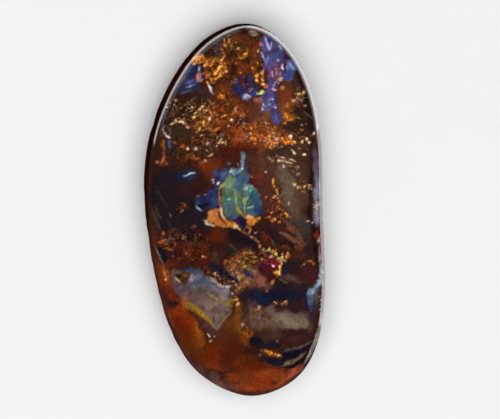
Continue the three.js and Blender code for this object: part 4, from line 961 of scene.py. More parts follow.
# Single grains and flecks that stand out, and a few painted highlight dots on the right rim: hex, middle x
# and y, half lengths and turn in degrees
FLECKS = [
    # Orange and cream pieces of the upper end
    ("b8702c", -3.95, 17.25, 0.8, 0.5, 12),
    ("d48a3c", -4.1, 17.4, 0.35, 0.2, 20),
    ("d0883c", -3.5, 17.1, 0.2, 0.22, 0),
    ("6a3414", -3.75, 17.2, 0.1, 0.1, 0),
    ("e0903c", -4.5, 16.8, 0.32, 0.2, 10),
    ("a06420", -3.15, 17.0, 0.22, 0.25, 0),
    ("9fb0c4", -3.95, 16.1, 0.14, 0.28, 10),
    ("d8b078", -3.35, 16.4, 0.16, 0.28, 10),
    ("a05814", -3.2, 15.75, 0.28, 0.22, 20),
    ("a87468", -4.1, 15.3, 0.2, 0.35, -20),
    ("8c6e6c", -3.8, 14.8, 0.35, 0.2, 20),
    ("1e2444", -3.5, 15.2, 0.18, 0.25, 0),
    ("a06626", -2.45, 16.8, 0.24, 0.2, 20),
    ("9a6024", -1.95, 17.15, 0.22, 0.2, 0),
    ("a86c2c", -1.3, 17.45, 0.2, 0.24, 0),
    ("b87c34", -1.6, 16.35, 0.26, 0.22, 30),
    ("a8702e", -1.05, 16.5, 0.22, 0.22, 0),
    ("b87c32", -2.1, 15.8, 0.26, 0.22, 0),
    ("b07630", -1.4, 15.6, 0.22, 0.26, 0),
    ("b07024", -2.4, 15.0, 0.24, 0.24, 0),
    ("a8681e", -1.8, 15.25, 0.22, 0.2, 0),
    ("9c5c1a", -2.85, 15.3, 0.2, 0.2, 0),
    ("7a3a08", -2.3, 14.85, 0.14, 0.1, 0),
    ("5a2c0c", -1.9, 16.15, 0.1, 0.08, 0),
    ("5a2c0c", -1.55, 15.95, 0.08, 0.1, 0),
    ("4a240c", -2.25, 16.4, 0.16, 0.1, 20),
    ("e0b050", -1.55, 16.25, 0.16, 0.12, 20),
    ("d8a040", -2.1, 15.65, 0.14, 0.14, 0),
    ("d89c44", -1.6, 15.35, 0.1, 0.14, 0),
    ("c88838", -2.55, 15.1, 0.14, 0.12, 0),
    ("d89050", -0.9, 15.9, 0.16, 0.22, 0),
    ("e0a060", -1.3, 17.2, 0.2, 0.14, 0),
    ("c89060", -0.9, 18.8, 0.14, 0.14, 0),
    ("b49878", -1.1, 19.4, 0.12, 0.16, 0),
    ("c49068", 0.45, 18.45, 0.18, 0.12, 0),
    ("dca060", 2.85, 18.25, 0.14, 0.18, 0),
    ("b85c50", 3.05, 19.0, 0.22, 0.26, 20),
    ("e08838", 2.75, 16.9, 0.15, 0.15, 0),
    ("c86c18", 2.2, 16.2, 0.22, 0.18, -20),
    ("c46a14", 0.8, 15.6, 0.16, 0.16, 0),
    ("f2a832", 2.6, 15.4, 0.26, 0.26, 0),
    ("e0902c", 2.6, 14.85, 0.24, 0.18, -15),
    ("d08c5c", 3.3, 15.75, 0.14, 0.3, 0),
    ("cc8050", 3.3, 15.0, 0.14, 0.25, 0),
    ("d89058", 3.3, 14.45, 0.25, 0.14, 20),
    ("b87048", 3.65, 14.15, 0.22, 0.18, 0),
    ("d8a8a4", 4.95, 15.8, 0.16, 0.14, 0),
    ("d89c74", 5.3, 15.0, 0.3, 0.18, 20),
    ("c8a4b8", 5.6, 16.4, 0.14, 0.3, -15),
    ("b07c98", 5.0, 17.15, 0.2, 0.14, 0),
    ("a86c7c", 4.5, 15.6, 0.18, 0.3, 0),
    ("c89c94", 4.6, 13.75, 0.3, 0.16, -10),
    ("b47848", 5.5, 14.05, 0.28, 0.18, 10),
    ("b8c060", 3.2, 13.45, 0.36, 0.2, 12),
    ("7aa080", 2.75, 13.35, 0.16, 0.18, 0),
    ("dce4f0", 1.5, 13.1, 0.2, 0.12, -20),
    ("9098b8", 1.3, 12.95, 0.3, 0.18, 20),
    ("7a5860", 2.0, 13.8, 0.16, 0.25, -25),
    ("e4dce4", 3.4, 12.15, 0.12, 0.12, 0),
    ("e4d8d8", 3.25, 11.65, 0.14, 0.16, 0),
    ("9090c8", 4.4, 12.7, 0.16, 0.16, 0),
    ("a8788c", 4.7, 11.8, 0.25, 0.14, -30),
    ("a07890", 4.2, 12.1, 0.14, 0.14, 0),
    # Orange and cream grains of the right flank
    ("e0a060", 7.95, 13.5, 0.18, 0.26, -25),
    ("d8b088", 7.5, 13.3, 0.2, 0.14, 10),
    ("d0a488", 6.9, 12.6, 0.14, 0.2, 0),
    ("b8a094", 7.85, 12.7, 0.14, 0.12, 0),
    ("a89890", 8.25, 11.9, 0.14, 0.1, 0),
    ("b06a34", 6.15, 12.0, 0.16, 0.3, 0),
    ("c87c28", 6.0, 10.85, 0.18, 0.3, 25),
    ("d89040", 6.15, 10.65, 0.12, 0.2, 20),
    ("d88c34", 6.55, 10.35, 0.35, 0.1, 12),
    ("b06818", 5.85, 10.05, 0.3, 0.1, 30),
    ("b87428", 7.05, 10.55, 0.35, 0.09, 25),
    ("a06c30", 7.45, 10.65, 0.2, 0.1, -25),
    ("907874", 7.8, 9.75, 0.2, 0.12, -20),
    ("90481c", 7.8, 9.3, 0.2, 0.16, 0),
    ("706860", 8.3, 9.8, 0.1, 0.1, 0),
    ("dca878", 1.15, 9.95, 0.2, 0.12, -25),
    ("dcc4a0", -0.2, 10.3, 0.16, 0.16, 0),
    ("e0c8a4", 9.2, 8.85, 0.14, 0.16, 0),
    ("ecd0a0", 6.5, 8.4, 0.2, 0.18, 10),
    ("dcb868", 7.0, 7.9, 0.16, 0.2, 0),
    ("e4c890", 7.9, 7.8, 0.14, 0.22, 0),
    ("dcc08c", 8.4, 8.2, 0.18, 0.12, 25),
    ("d8b490", 8.7, 7.85, 0.18, 0.18, 0),
    ("e09028", 5.6, 8.2, 0.14, 0.3, 25),
    ("d88018", 6.1, 7.75, 0.3, 0.14, 10),
    ("c86c18", 6.7, 7.7, 0.3, 0.12, 15),
    ("a86010", 6.3, 8.0, 0.25, 0.14, 0),
    ("f09018", 2.2, 8.2, 0.35, 0.2, -10),
    ("c8c090", 1.85, 8.85, 0.16, 0.14, 0),
    ("c0acc8", 1.45, 8.45, 0.2, 0.12, 0),
    ("b8786c", 1.7, 7.85, 0.18, 0.12, 0),
    ("3a1408", 2.1, 9.0, 0.2, 0.12, 0),
    ("d88838", 4.2, 7.4, 0.14, 0.25, 0),
    ("e49838", 4.7, 7.6, 0.12, 0.22, -15),
    ("c8988c", 5.0, 8.25, 0.2, 0.18, 0),
    ("c8a080", 3.6, 7.9, 0.13, 0.13, 0),
    ("dc9848", 4.0, 8.4, 0.14, 0.2, 0),
    ("b07890", 3.9, 7.7, 0.12, 0.12, 0),
    ("3c3038", 4.55, 8.1, 0.12, 0.16, 0),
    ("241c28", 5.25, 7.5, 0.2, 0.3, 0),
    ("f0d098", 6.95, 6.65, 0.18, 0.24, 20),
    ("ecd0a0", 8.05, 6.4, 0.16, 0.16, 0),
    ("d0ac80", 6.75, 6.85, 0.22, 0.09, -15),
    ("e8c8a8", 5.1, 5.75, 0.1, 0.15, 0),
    ("988068", 4.2, 5.9, 0.12, 0.12, 0),
    ("98786c", 4.45, 5.65, 0.14, 0.14, 0),
    ("b08c74", 5.7, 5.1, 0.16, 0.14, -30),
    ("8c8078", 7.4, 5.0, 0.18, 0.12, -30),
    ("807470", 7.4, 4.1, 0.18, 0.14, 20),
    ("a08878", 3.65, 4.45, 0.12, 0.12, 0),
    ("8a6258", 2.0, 3.85, 0.25, 0.1, 0),
    ("e08c30", 4.55, 3.3, 0.13, 0.4, 0),
    ("a05a24", 4.9, 2.3, 0.15, 0.28, -20),
    ("b08460", 4.7, 1.6, 0.12, 0.15, 0),
    ("b06c28", 4.7, 2.75, 0.12, 0.12, 0),
    ("c07c30", 4.95, 1.95, 0.11, 0.12, 0),
    ("b87030", 5.0, 1.35, 0.12, 0.11, 0),
    ("a86028", 5.1, 0.95, 0.11, 0.13, 0),
    ("985420", 5.2, 0.5, 0.12, 0.11, 0),
    ("b06828", 5.3, 0.1, 0.13, 0.12, 0),
    ("a8602c", 5.65, -0.05, 0.12, 0.1, 0),
    ("b87430", 5.95, -0.35, 0.11, 0.12, 0),
    ("a8642c", 6.35, -0.75, 0.12, 0.1, 0),
    ("b87830", 4.4, -0.3, 0.13, 0.12, 0),
    ("a86428", 5.1, -0.75, 0.12, 0.12, 0),
    ("8a4c20", 3.9, -0.2, 0.13, 0.12, 0),
    ("98582a", 4.55, 0.55, 0.12, 0.11, 0),
    ("8a5028", 4.35, 1.1, 0.1, 0.12, 0),
    ("8e5428", 5.45, 0.8, 0.1, 0.12, 0),
    ("b09480", 3.7, 1.45, 0.13, 0.12, 0),
    ("c49870", 7.0, 2.95, 0.25, 0.12, -10),
    ("d0a468", 7.45, 2.55, 0.18, 0.16, -20),
    ("a08058", 7.9, 2.2, 0.14, 0.1, 0),
    ("b88874", 8.2, 2.75, 0.2, 0.12, 10),
    ("b88870", 8.75, 2.85, 0.2, 0.12, 0),
    ("8c6858", 9.0, 2.5, 0.12, 0.16, 0),
    ("c89c78", 6.3, 0.8, 0.13, 0.18, 0),
    # Cream grains of the upper left
    ("e8d0a0", -7.65, 11.8, 0.13, 0.13, 0),
    ("a89488", -7.4, 12.15, 0.12, 0.1, 0),
    ("c49474", -6.6, 12.5, 0.14, 0.18, 0),
    ("b89880", -6.75, 11.95, 0.14, 0.12, 0),
    ("dcb888", -4.75, 11.7, 0.14, 0.16, 0),
    ("e8b878", -3.85, 11.5, 0.2, 0.16, 25),
    ("dcc0a0", -3.55, 11.85, 0.16, 0.12, 0),
    ("e4c080", -3.2, 11.3, 0.2, 0.1, -10),
    ("d8c080", -4.4, 11.1, 0.16, 0.12, 0),
    ("e8c068", -4.5, 10.6, 0.25, 0.12, 15),
    ("e4bc88", -6.6, 10.15, 0.2, 0.16, 0),
    ("ecc890", -6.0, 10.1, 0.35, 0.14, -15),
    ("e4c498", -7.05, 9.85, 0.3, 0.1, 10),
    ("e0bc94", -5.55, 9.95, 0.2, 0.12, -30),
    ("e89c30", -3.4, 9.9, 0.2, 0.25, 0),
    ("dca850", -3.9, 9.3, 0.16, 0.16, 0),
    ("d8b880", -3.65, 8.5, 0.14, 0.12, 0),
    ("c8906c", -5.3, 9.5, 0.25, 0.12, -15),
    ("e0c0a0", -2.7, 10.4, 0.14, 0.2, 15),
    ("a87c7c", -4.15, 9.0, 0.14, 0.14, 0),
    ("d07828", -2.0, 9.2, 0.35, 0.14, 30),
    ("e4b070", -1.5, 8.05, 0.14, 0.18, 0),
    ("e0b068", -1.3, 7.75, 0.2, 0.14, -20),
    ("d8a068", -0.95, 7.7, 0.14, 0.2, 0),
    ("c8a484", -1.65, 7.85, 0.14, 0.12, 0),
    ("d8bca0", -3.05, 7.6, 0.13, 0.18, 0),
    ("c8b498", -2.0, 7.45, 0.13, 0.13, 0),
    ("e0b8a4", -4.4, 7.0, 0.16, 0.2, 20),
    ("b89c78", -5.3, 7.05, 0.16, 0.14, 0),
    ("d8b494", -2.7, 6.3, 0.28, 0.1, 25),
    ("dcb070", -3.25, 5.65, 0.16, 0.12, 0),
    ("b88068", -3.6, 5.4, 0.14, 0.12, 0),
    ("c07850", -8.8, 5.5, 0.16, 0.2, 0),
    ("c89c84", -2.5, 12.2, 0.2, 0.12, 20),
    ("e07c30", -1.3, 13.0, 0.25, 0.25, 0),
    ("d88a40", -1.1, 10.8, 0.2, 0.2, 0),
    ("c85c34", -0.3, 11.0, 0.2, 0.16, 0),
    ("dcb080", 0.2, 11.5, 0.16, 0.3, -15),
    ("b8a08c", -0.6, 9.6, 0.14, 0.1, 0),
    # Flecks round the middle opal
    ("60e088", 1.9, 2.25, 0.2, 0.16, 0),
    ("58c890", -0.55, 1.25, 0.2, 0.16, 0),
    ("b8d0c0", 1.4, 2.5, 0.2, 0.2, 0),
    ("90b8c0", 2.0, 2.7, 0.18, 0.14, 0),
    ("0e1016", -3.85, 0.45, 0.28, 0.16, -20),
    ("120e16", -3.2, 0.75, 0.25, 0.13, 10),
    ("d8c4c0", -1.85, 3.0, 0.18, 0.16, 20),
    ("b898a8", -2.35, 3.35, 0.12, 0.2, 0),
    ("3c4e48", -0.65, 5.3, 0.25, 0.2, 0),
    ("86807c", 0.5, 5.2, 0.16, 0.12, 20),
    ("d4dce8", 0.95, 4.75, 0.12, 0.14, 0),
    ("c8d8e8", -0.3, 4.55, 0.12, 0.2, 0),
    ("2a0c08", -2.4, -1.5, 0.14, 0.12, 0),
    ("f0d8c8", -3.2, -1.45, 0.12, 0.16, 0),
    ("e8cca0", 0.2, -1.9, 0.2, 0.1, 0),
    ("a88030", 0.6, -2.2, 0.18, 0.16, 0),
    # Grains of the lower half
    ("a87054", -5.95, -0.2, 0.2, 0.14, 20),
    ("7a5050", -7.3, -0.55, 0.16, 0.16, 0),
    ("7a3c20", -4.6, -1.9, 0.3, 0.18, 0),
    ("94602c", -8.05, -2.75, 0.18, 0.2, 0),
    ("a45a24", -8.3, -3.6, 0.3, 0.16, 15),
    ("b45c18", -7.6, -4.45, 0.35, 0.16, -20),
    ("947650", -5.75, -3.15, 0.12, 0.24, 15),
    ("e8bc80", -3.65, -5.45, 0.18, 0.15, 0),
    ("a8641c", -3.3, -5.45, 0.2, 0.08, 0),
    ("9a7460", -7.0, -5.2, 0.12, 0.1, 0),
    ("d09040", 4.65, -1.1, 0.22, 0.14, 20),
    ("b06834", 4.0, -0.8, 0.22, 0.2, 0),
    ("e07c20", 6.1, -0.6, 0.14, 0.22, 0),
    ("b07c50", 5.5, -0.5, 0.2, 0.2, 0),
    ("d0a488", 8.6, -1.35, 0.22, 0.12, -10),
    ("b89080", 9.05, -1.5, 0.14, 0.1, 0),
    ("d8b8a0", 2.45, -2.65, 0.16, 0.1, 40),
    ("c0a078", 2.05, -3.05, 0.18, 0.09, -35),
    ("b88850", 2.7, -3.55, 0.2, 0.1, -35),
    ("d8a878", 2.95, -4.2, 0.14, 0.22, 0),
    ("706454", 4.45, -3.7, 0.08, 0.3, 20),
    ("f0d080", 4.1, -4.5, 0.14, 0.22, -15),
    ("f8c848", 4.8, -5.1, 0.16, 0.12, -25),
    ("e0b050", 4.5, -4.95, 0.14, 0.1, -40),
    ("f0c470", 4.35, -4.75, 0.1, 0.08, -30),
    ("c89460", 3.75, -4.7, 0.12, 0.1, 0),
    ("b8885c", 3.4, -4.55, 0.1, 0.14, 20),
    ("a87858", 3.1, -5.0, 0.12, 0.1, 0),
    ("c06430", 3.55, -5.35, 0.1, 0.12, 0),
    ("b8a090", 3.2, -5.75, 0.14, 0.09, 20),
    ("d89848", 6.05, -5.4, 0.1, 0.14, 0),
    ("d8844c", 4.8, -4.7, 0.08, 0.1, 0),
    ("f0d070", 5.55, -5.45, 0.14, 0.18, 0),
    ("f0d8a0", 5.1, -5.5, 0.12, 0.12, 0),
    ("f0b8a0", 5.35, -5.85, 0.18, 0.18, 0),
    ("e0b050", 5.75, -5.85, 0.18, 0.12, 0),
    ("d8c0b0", 4.3, -5.45, 0.22, 0.09, -10),
    ("dca048", 6.15, -4.95, 0.12, 0.16, 0),
    ("c87030", 6.35, -5.3, 0.16, 0.16, 0),
    ("c8a070", 5.65, -5.05, 0.16, 0.1, 0),
    ("2a2410", 4.3, -5.15, 0.18, 0.12, 0),
    ("1c1a14", 5.3, -5.05, 0.25, 0.14, 0),
    ("f0f0ff", 4.5, -6.45, 0.2, 0.09, -20),
    ("101020", 4.65, -6.75, 0.16, 0.12, 0),
    ("e08434", 4.85, -7.2, 0.28, 0.22, 0),
    ("e8b860", 5.35, -6.5, 0.12, 0.25, -15),
    ("e4b458", 5.15, -7.3, 0.12, 0.3, -10),
    ("b87434", 4.5, -8.3, 0.16, 0.26, -20),
    ("d09040", 1.2, -6.5, 0.3, 0.16, 20),
    ("c0904c", 1.1, -6.2, 0.14, 0.2, 0),
    ("d8a870", 0.6, -6.05, 0.16, 0.16, 0),
    ("8a5c20", -1.0, -5.9, 0.18, 0.25, 0),
    ("b08450", -0.1, -6.5, 0.16, 0.14, 0),
    ("b07850", -2.1, -7.4, 0.16, 0.1, 20),
    ("a07048", -1.6, -7.95, 0.14, 0.12, -30),
    ("a87c50", -0.3, -6.9, 0.12, 0.1, 0),
    ("b08858", 0.2, -6.3, 0.14, 0.12, 0),
    ("9a7048", 0.5, -6.8, 0.12, 0.14, 0),
    ("b8926a", 0.35, -7.2, 0.1, 0.1, 0),
    ("a88054", 0.7, -7.3, 0.14, 0.1, 0),
    ("8a6038", -0.1, -7.3, 0.12, 0.1, 0),
    ("c0986c", 0.65, -7.8, 0.1, 0.1, 0),
    ("a0784a", 0.9, -7.7, 0.12, 0.12, 0),
    ("a07c48", 1.3, -8.2, 0.14, 0.12, 0),
    ("90703c", 1.0, -8.4, 0.12, 0.1, 0),
    ("a88450", 1.6, -8.3, 0.1, 0.12, 0),
    ("b08c58", 0.55, -8.95, 0.14, 0.1, 0),
    ("985f38", -1.7, -7.7, 0.14, 0.1, 0),
    ("a06c48", -1.2, -7.9, 0.1, 0.12, 0),
    ("8a5838", -1.0, -8.3, 0.14, 0.1, 0),
    ("905c40", -0.6, -8.2, 0.1, 0.1, 0),
    ("2a1008", -2.05, -7.7, 0.12, 0.08, 0),
    ("30140c", -1.4, -8.1, 0.12, 0.08, 0),
    ("2c1208", 0.2, -9.0, 0.16, 0.1, 0),
    ("381c10", 0.1, -7.0, 0.1, 0.08, 0),
    ("3a1c0e", 0.6, -7.05, 0.1, 0.08, 0),
    ("34180c", 1.0, -8.05, 0.1, 0.08, 0),
    ("40200f", 0.4, -7.55, 0.1, 0.08, 0),
    ("8a6a24", 1.4, -5.6, 0.14, 0.12, 0),
    ("90702c", 2.4, -5.4, 0.16, 0.12, 0),
    ("7a5c20", 1.2, -5.9, 0.12, 0.16, 0),
    ("8a4c18", 0.3, -5.7, 0.14, 0.14, 0),
    ("9a4c1c", 0.55, -5.3, 0.16, 0.1, 0),
    ("80401c", -0.2, -6.0, 0.12, 0.1, 0),
    ("905838", -0.3, -6.3, 0.12, 0.12, 0),
    ("e8dcd0", -0.7, -8.8, 0.2, 0.16, 0),
    ("c8a060", -1.3, -8.8, 0.22, 0.1, 0),
    ("d8c0b8", 0.6, -7.75, 0.12, 0.1, 0),
    ("d8b4a0", -0.15, -9.7, 0.14, 0.14, 0),
    ("8c5050", 3.8, -9.4, 0.14, 0.14, 0),
    ("dca468", 0.45, -10.8, 0.2, 0.22, 20),
    ("dcb894", 2.9, -11.2, 0.22, 0.12, -25),
    ("e0985c", 4.65, -10.7, 0.16, 0.11, 0),
    ("d08848", 4.95, -10.8, 0.16, 0.13, -20),
    ("d8a058", 5.95, -10.65, 0.28, 0.1, 12),
    ("b87030", 5.55, -10.85, 0.2, 0.08, 0),
    ("c87840", 6.1, -10.85, 0.14, 0.08, 0),
    # Painted highlight: pale dots along the right rim's edge
    ("d8ccc4", 10.08, -10.5, 0.1, 0.13, 0),
    ("c0b4b0", 10.05, -10.0, 0.09, 0.1, 0),
    ("a89c9c", 10.08, -11.0, 0.1, 0.1, 0),
    ("b0a4a0", 10.0, -11.5, 0.08, 0.12, 0),
    ("1c1512", -2.15, -19.3, 0.13, 0.11, 0),
    ("8a5a30", -8.0, -3.35, 0.28, 0.16, 30),
    ("7c5038", -7.1, -3.25, 0.32, 0.14, -20),
    ("8c4c28", -6.8, -3.9, 0.14, 0.28, 15),
    ("9c5a2c", -7.15, -4.55, 0.26, 0.16, -15),
    ("703c28", -6.3, -5.6, 0.2, 0.14, 20),
    ("7c4430", -5.5, -4.9, 0.22, 0.13, -30),
    ("e0ac80", -7.95, -7.25, 0.08, 0.32, 5),
    ("d09468", -7.8, -7.95, 0.09, 0.25, 0),
    ("7c4624", -5.6, -7.5, 0.22, 0.13, 10),
    ("6c3c24", -5.95, -7.9, 0.2, 0.13, -20),
    ("2a1e1a", -1.7, -18.75, 0.12, 0.09, 0),
    ("c88850", 8.75, -5.9, 0.18, 0.08, 10),
    ("b88448", 8.05, -6.25, 0.14, 0.08, 35),
    ("9c6a30", 9.2, -6.15, 0.16, 0.08, -30),
    ("2c1810", 8.42, -6.03, 0.08, 0.12, 0),
    ("c0a084", 0.95, -13.25, 0.18, 0.16, 0),
    ("fce8dc", -2.9, -14.4, 0.12, 0.22, 25),
    ("e0bc80", -2.75, -15.05, 0.2, 0.12, 10),
    ("a88c90", -2.3, -14.65, 0.12, 0.1, 0),
    ("d07c24", 4.1, -16.5, 0.4, 0.2, -25),
    ("e09c38", 3.8, -16.3, 0.2, 0.12, -20),
    ("f4c480", 5.2, -16.85, 0.18, 0.13, 0),
    ("b0741c", 4.9, -16.7, 0.25, 0.16, 0),
    ("6c4850", 3.05, -16.8, 0.2, 0.14, 0),
    ("8c5c40", 5.05, -15.15, 0.2, 0.12, -30),
    ("141014", 6.65, -17.6, 0.14, 0.12, 0),
    ("3c5070", 6.2, -16.2, 0.3, 0.1, 15),
]

# How far the markings' borders wander, as lattice size and reach in millimetres, and the seeds of it
GROUND_WANDER = [(1.6, 0.4), (0.5, 0.18), (0.25, 0.1)]
PLATE_WANDER = [(0.8, 0.15), (0.3, 0.12), (0.15, 0.05)]
LINE_WANDER = [(0.5, 0.08), (0.2, 0.04)]
FLECK_WANDER = [(0.35, 0.12), (0.16, 0.06)]
GROUND_SEED = 11
PLATE_SEED = 31
LINE_SEED = 51
FLECK_SEED = 71

# Softness of the edges of streaks and flecks, in millimetres, about as fine as the face's grid can show, and
# the share of its width that a streak loses towards its ends
LINE_SOFT = 0.09
FLECK_SOFT = 0.06
LINE_TAPER = 0.6

# How far opal plates, which are a little clear, and flecks hide what is under them
PLATE_STRENGTH = 0.88
FLECK_STRENGTH = 0.96

# The ironstone where nothing else is marked, and how far polish lifts ironstone's red, green and blue
BARE_GROUND = "33190e"
LIFT = np.array([1.12, 1.04, 1.06])

# Strength of the fine mottling on plain ground, what grain and other marks add, and the share opal takes off
PLAIN_MOTTLE = 0.4
GRAIN_MOTTLE = 1.2
MARK_MOTTLE = 0.6
OPAL_CALM = 0.5

# The plane that the markings are placed in leans a little to the left and up: how far x and y move with each
# millimetre of height, where the stone's middle falls, and y's turn and stretch
SEEN_LEAN = (0.14, -0.087)
SEEN_MIDDLE = (0.08, -0.07)
SEEN_TURN = 0.0123
SEEN_STRETCH = 1.0066

# Broad lighter and darker areas: middle x and y, half lengths, softness and gain
GLOWS = [
    (1.5, 15.0, 5.5, 4.5, 2.5, 0.16),
    (6.3, 3.5, 2.6, 6.0, 2.0, 0.2),
    (-6.5, 7.0, 2.2, 2.2, 1.2, 0.2),
    (-2.5, -11.2, 1.8, 1.8, 1.0, 0.13),
    (-4.5, -4.2, 2.2, 1.6, 1.2, -0.1),
    (1.0, -6.5, 1.2, 1.0, 0.8, -0.1),
    (2.0, -15.3, 2.0, 1.8, 1.2, -0.12),
]


def as_seen(points):
    """Where the stone's points fall in the plane that the markings are placed in: x and y, each moved by its
    lean times the height above the stone's middle, with y also turned and stretched a little."""
    x, y, rise = points[:, 0], points[:, 1], points[:, 2] - STONE_MIDDLE.z / MM
    seen_x = x + SEEN_LEAN[0] * rise + SEEN_MIDDLE[0]
    seen_y = SEEN_TURN * x + SEEN_STRETCH * y + SEEN_LEAN[1] * rise + SEEN_MIDDLE[1]
    return np.stack([seen_x, seen_y], -1)


def wandered(seen, wander, seed):
    """The places moved sideways by lattice noise, once for each size and reach."""
    spots = np.column_stack([seen, np.zeros(len(seen))])
    moved = seen.copy()
    for i, (size, reach) in enumerate(wander):
        moved[:, 0] += reach * lattice_noise(spots, size, seed + 2 * i)
        moved[:, 1] += reach * lattice_noise(spots, size, seed + 2 * i + 1)
    return moved


def oval_field(seen, x, y, half_x, half_y, turn=0):
    """How far inside an oval each place is: one less its distance from the middle in half lengths, times the
    shorter half length."""
    cosine, sine = math.cos(math.radians(turn)), math.sin(math.radians(turn))
    across, along = seen[:, 0] - x, seen[:, 1] - y
    reach = np.hypot((cosine * across + sine * along) / half_x, (cosine * along - sine * across) / half_y)
    return (1 - reach) * min(half_x, half_y)


def line_distance(seen, start, end):
    """The distance from each place to a straight line, and the share of the line passed at that place."""
    start, side = np.array(start), np.subtract(end, start)
    share = np.clip((seen - start) @ side / (side @ side), 0, 1)
    return np.linalg.norm(seen - start - share[:, None] * side, axis=1), share


def plate_field(seen, corners):
    """How far inside a plate each place is: the distance to its nearest side, less than zero outside. A place
    is inside when a line from it towards +X crosses an odd number of sides."""
    inside = np.zeros(len(seen), bool)
    nearest = np.full(len(seen), np.inf)
    for (x1, y1), (x2, y2) in zip(corners, corners[1:] + corners[:1]):
        nearest = np.minimum(nearest, line_distance(seen, (x1, y1), (x2, y2))[0])
        spans = (y1 > seen[:, 1]) != (y2 > seen[:, 1])
        crossing = x1 + (seen[:, 1] - y1) * (x2 - x1) / ((y2 - y1) or 1)
        inside ^= spans & (seen[:, 0] < crossing)
    return np.where(inside, nearest, -nearest)


def streak_field(seen, line, half_width):
    """How far inside a streak each place is: half its width less the distance to the nearest of its straight
    pieces. The width falls with the square of the way from its middle, to two fifths at both ends."""
    field = np.full(len(seen), -np.inf)
    pieces = len(line) - 1
    for i in range(pieces):
        distance, share = line_distance(seen, line[i], line[i + 1])
        along = 2 * (i + share) / pieces - 1
        field = np.maximum(field, half_width * (1 - LINE_TAPER * along * along) - distance)
    return field


def cover_of(field, soft):
    """0 outside a marking and 1 inside it, eased across its edge."""
    return smooth_step(-soft, soft, field)


def lay(colours, hex_colour, cover):
    """Moves the colours towards one colour by the cover."""
    colours += (srgb(hex_colour) - colours) * cover[:, None]


def paint_face(seen):
    """The face's markings by name. The ground is ironstone, plates of opal, flashes, rim tints, streaks and
    flecks, laid over one another in sRGB. The others say where the material's grain, with its own colours,
    its threads, mottling and silk belong."""
    count = len(seen)
    colours = np.tile(srgb(BARE_GROUND), (count, 1))
    ground = wandered(seen, GROUND_WANDER, GROUND_SEED)
    plates = wandered(seen, PLATE_WANDER, PLATE_SEED)
    lines = wandered(seen, LINE_WANDER, LINE_SEED)
    flecks = wandered(seen, FLECK_WANDER, FLECK_SEED)
    opal = np.zeros(count)
    for hex_colour, *oval, soft, strength in IRONSTONE:
        lay(colours, hex_colour, strength * cover_of(oval_field(ground, *oval), soft))
    for hex_colour, corners, soft in OPAL_PLATES:
        cover = PLATE_STRENGTH * cover_of(plate_field(plates, corners), soft)
        lay(colours, hex_colour, cover)
        opal = np.maximum(opal, cover)
    # The rim's colours are partly painted reflections and highlights, on its right side
    for hex_colour, *oval, soft, strength in OPAL_FLASHES + RIM_REFLECTIONS_AND_RUST:
        lay(colours, hex_colour, strength * cover_of(oval_field(plates, *oval), soft))
    colours *= LIFT + (1 - LIFT) * opal[:, None]
    grain_tint = colours.copy()
    grain, threads = np.zeros(count), np.zeros(count)
    for hex_colour, *oval, soft, density in GRAIN_FIELDS:
        cover = cover_of(oval_field(ground, *oval), soft)
        lay(grain_tint, hex_colour, cover)
        grain += (density - grain) * cover
    for *oval, soft, density in THREAD_FIELDS:
        threads = np.maximum(threads, density * cover_of(oval_field(ground, *oval), soft))
    bare = np.ones(count)
    for hex_colour, line, half_width, strength in STREAKS:
        cover = strength * cover_of(streak_field(lines, line, half_width), LINE_SOFT)
        lay(colours, hex_colour, cover)
        bare *= 1 - cover
    for hex_colour, *oval in FLECKS:
        cover = FLECK_STRENGTH * cover_of(oval_field(flecks, *oval), FLECK_SOFT)
        lay(colours, hex_colour, cover)
        bare *= 1 - cover
    for *oval, soft, gain in GLOWS:
        glow = 1 + gain * cover_of(oval_field(seen, *oval), soft)
        colours *= glow[:, None]
        grain_tint *= glow[:, None]
    mottle = (PLAIN_MOTTLE + GRAIN_MOTTLE * grain + MARK_MOTTLE * (1 - bare)) * (1 - OPAL_CALM * opal)
    return {"ground": colours, "grain_tint": grain_tint, "grain": grain * bare, "threads": threads * bare,
            "mottle": mottle, "opal": opal * bare}


def add_node(tree, kind, settings, inputs, output=0):
    """Adds one shader node of that kind and gives back one of its output sockets. Settings are its
    properties. Each input is a value, or the output socket that feeds it."""
    node = tree.nodes.new("ShaderNode" + kind)
    for name, value in settings.items():
        setattr(node, name, value)
    for socket, value in inputs.items():
        if isinstance(value, bpy.types.NodeSocket):
            tree.links.new(value, node.inputs[socket])
        else:
            node.inputs[socket].default_value = value
    return node.outputs[output] if len(node.outputs) else None


def new_material(name):
    """A material with an empty tree, and add_node for that tree."""
    material = bpy.data.materials.new(name)
    material.use_nodes = True
    material.node_tree.nodes.clear()
    return material, partial(add_node, material.node_tree)


# The wall: ironstone ground matt, in thin layers, with noise drawn out sideways to ten times its height
LAYER_STRETCH = np.array([0.2, 0.2, 2.0])
LAYER_SIZE = 1.0
LAYER_SEED = 101
WALL_COLOURS = ["260a06", "1a0806", "42190c"]
WALL_DARK_LAYERS = (0.0, 0.7)
WALL_PALE_LAYERS = (0.1, 0.8)
WALL_PALE_STRENGTH = 0.8

# It reddens down the stone and to the left, less where the layers are dark. Distances are in millimetres.
WALL_RED = "6e3028"
RED_DOWN = (-10.0, 7.0)
RED_LEFT = (0.0, 6.0)
RED_LAYERS = (-0.6, 0.6)
RED_STRENGTH = 0.75
RED_LOSS = 0.4

# The back: the same rock ground flat, in plain patches
PATCH_SIZE = 5.0
PATCH_SEED = 121
PATCH_OCTAVES = 4
BACK_COLOURS = ["3c2014", "2a150e", "573019"]
BACK_DARK_PATCHES = (0.0, 0.6)
BACK_PALE_PATCHES = (0.2, 0.8)
BACK_PALE_STRENGTH = 0.8

# Heights over which the back's colours give way to the wall's, and the wall's to the face's
BACK_TO_WALL = (0.1, 0.6)
WALL_TO_FACE = (WALL_TOP - 0.3, WALL_TOP - 0.01)


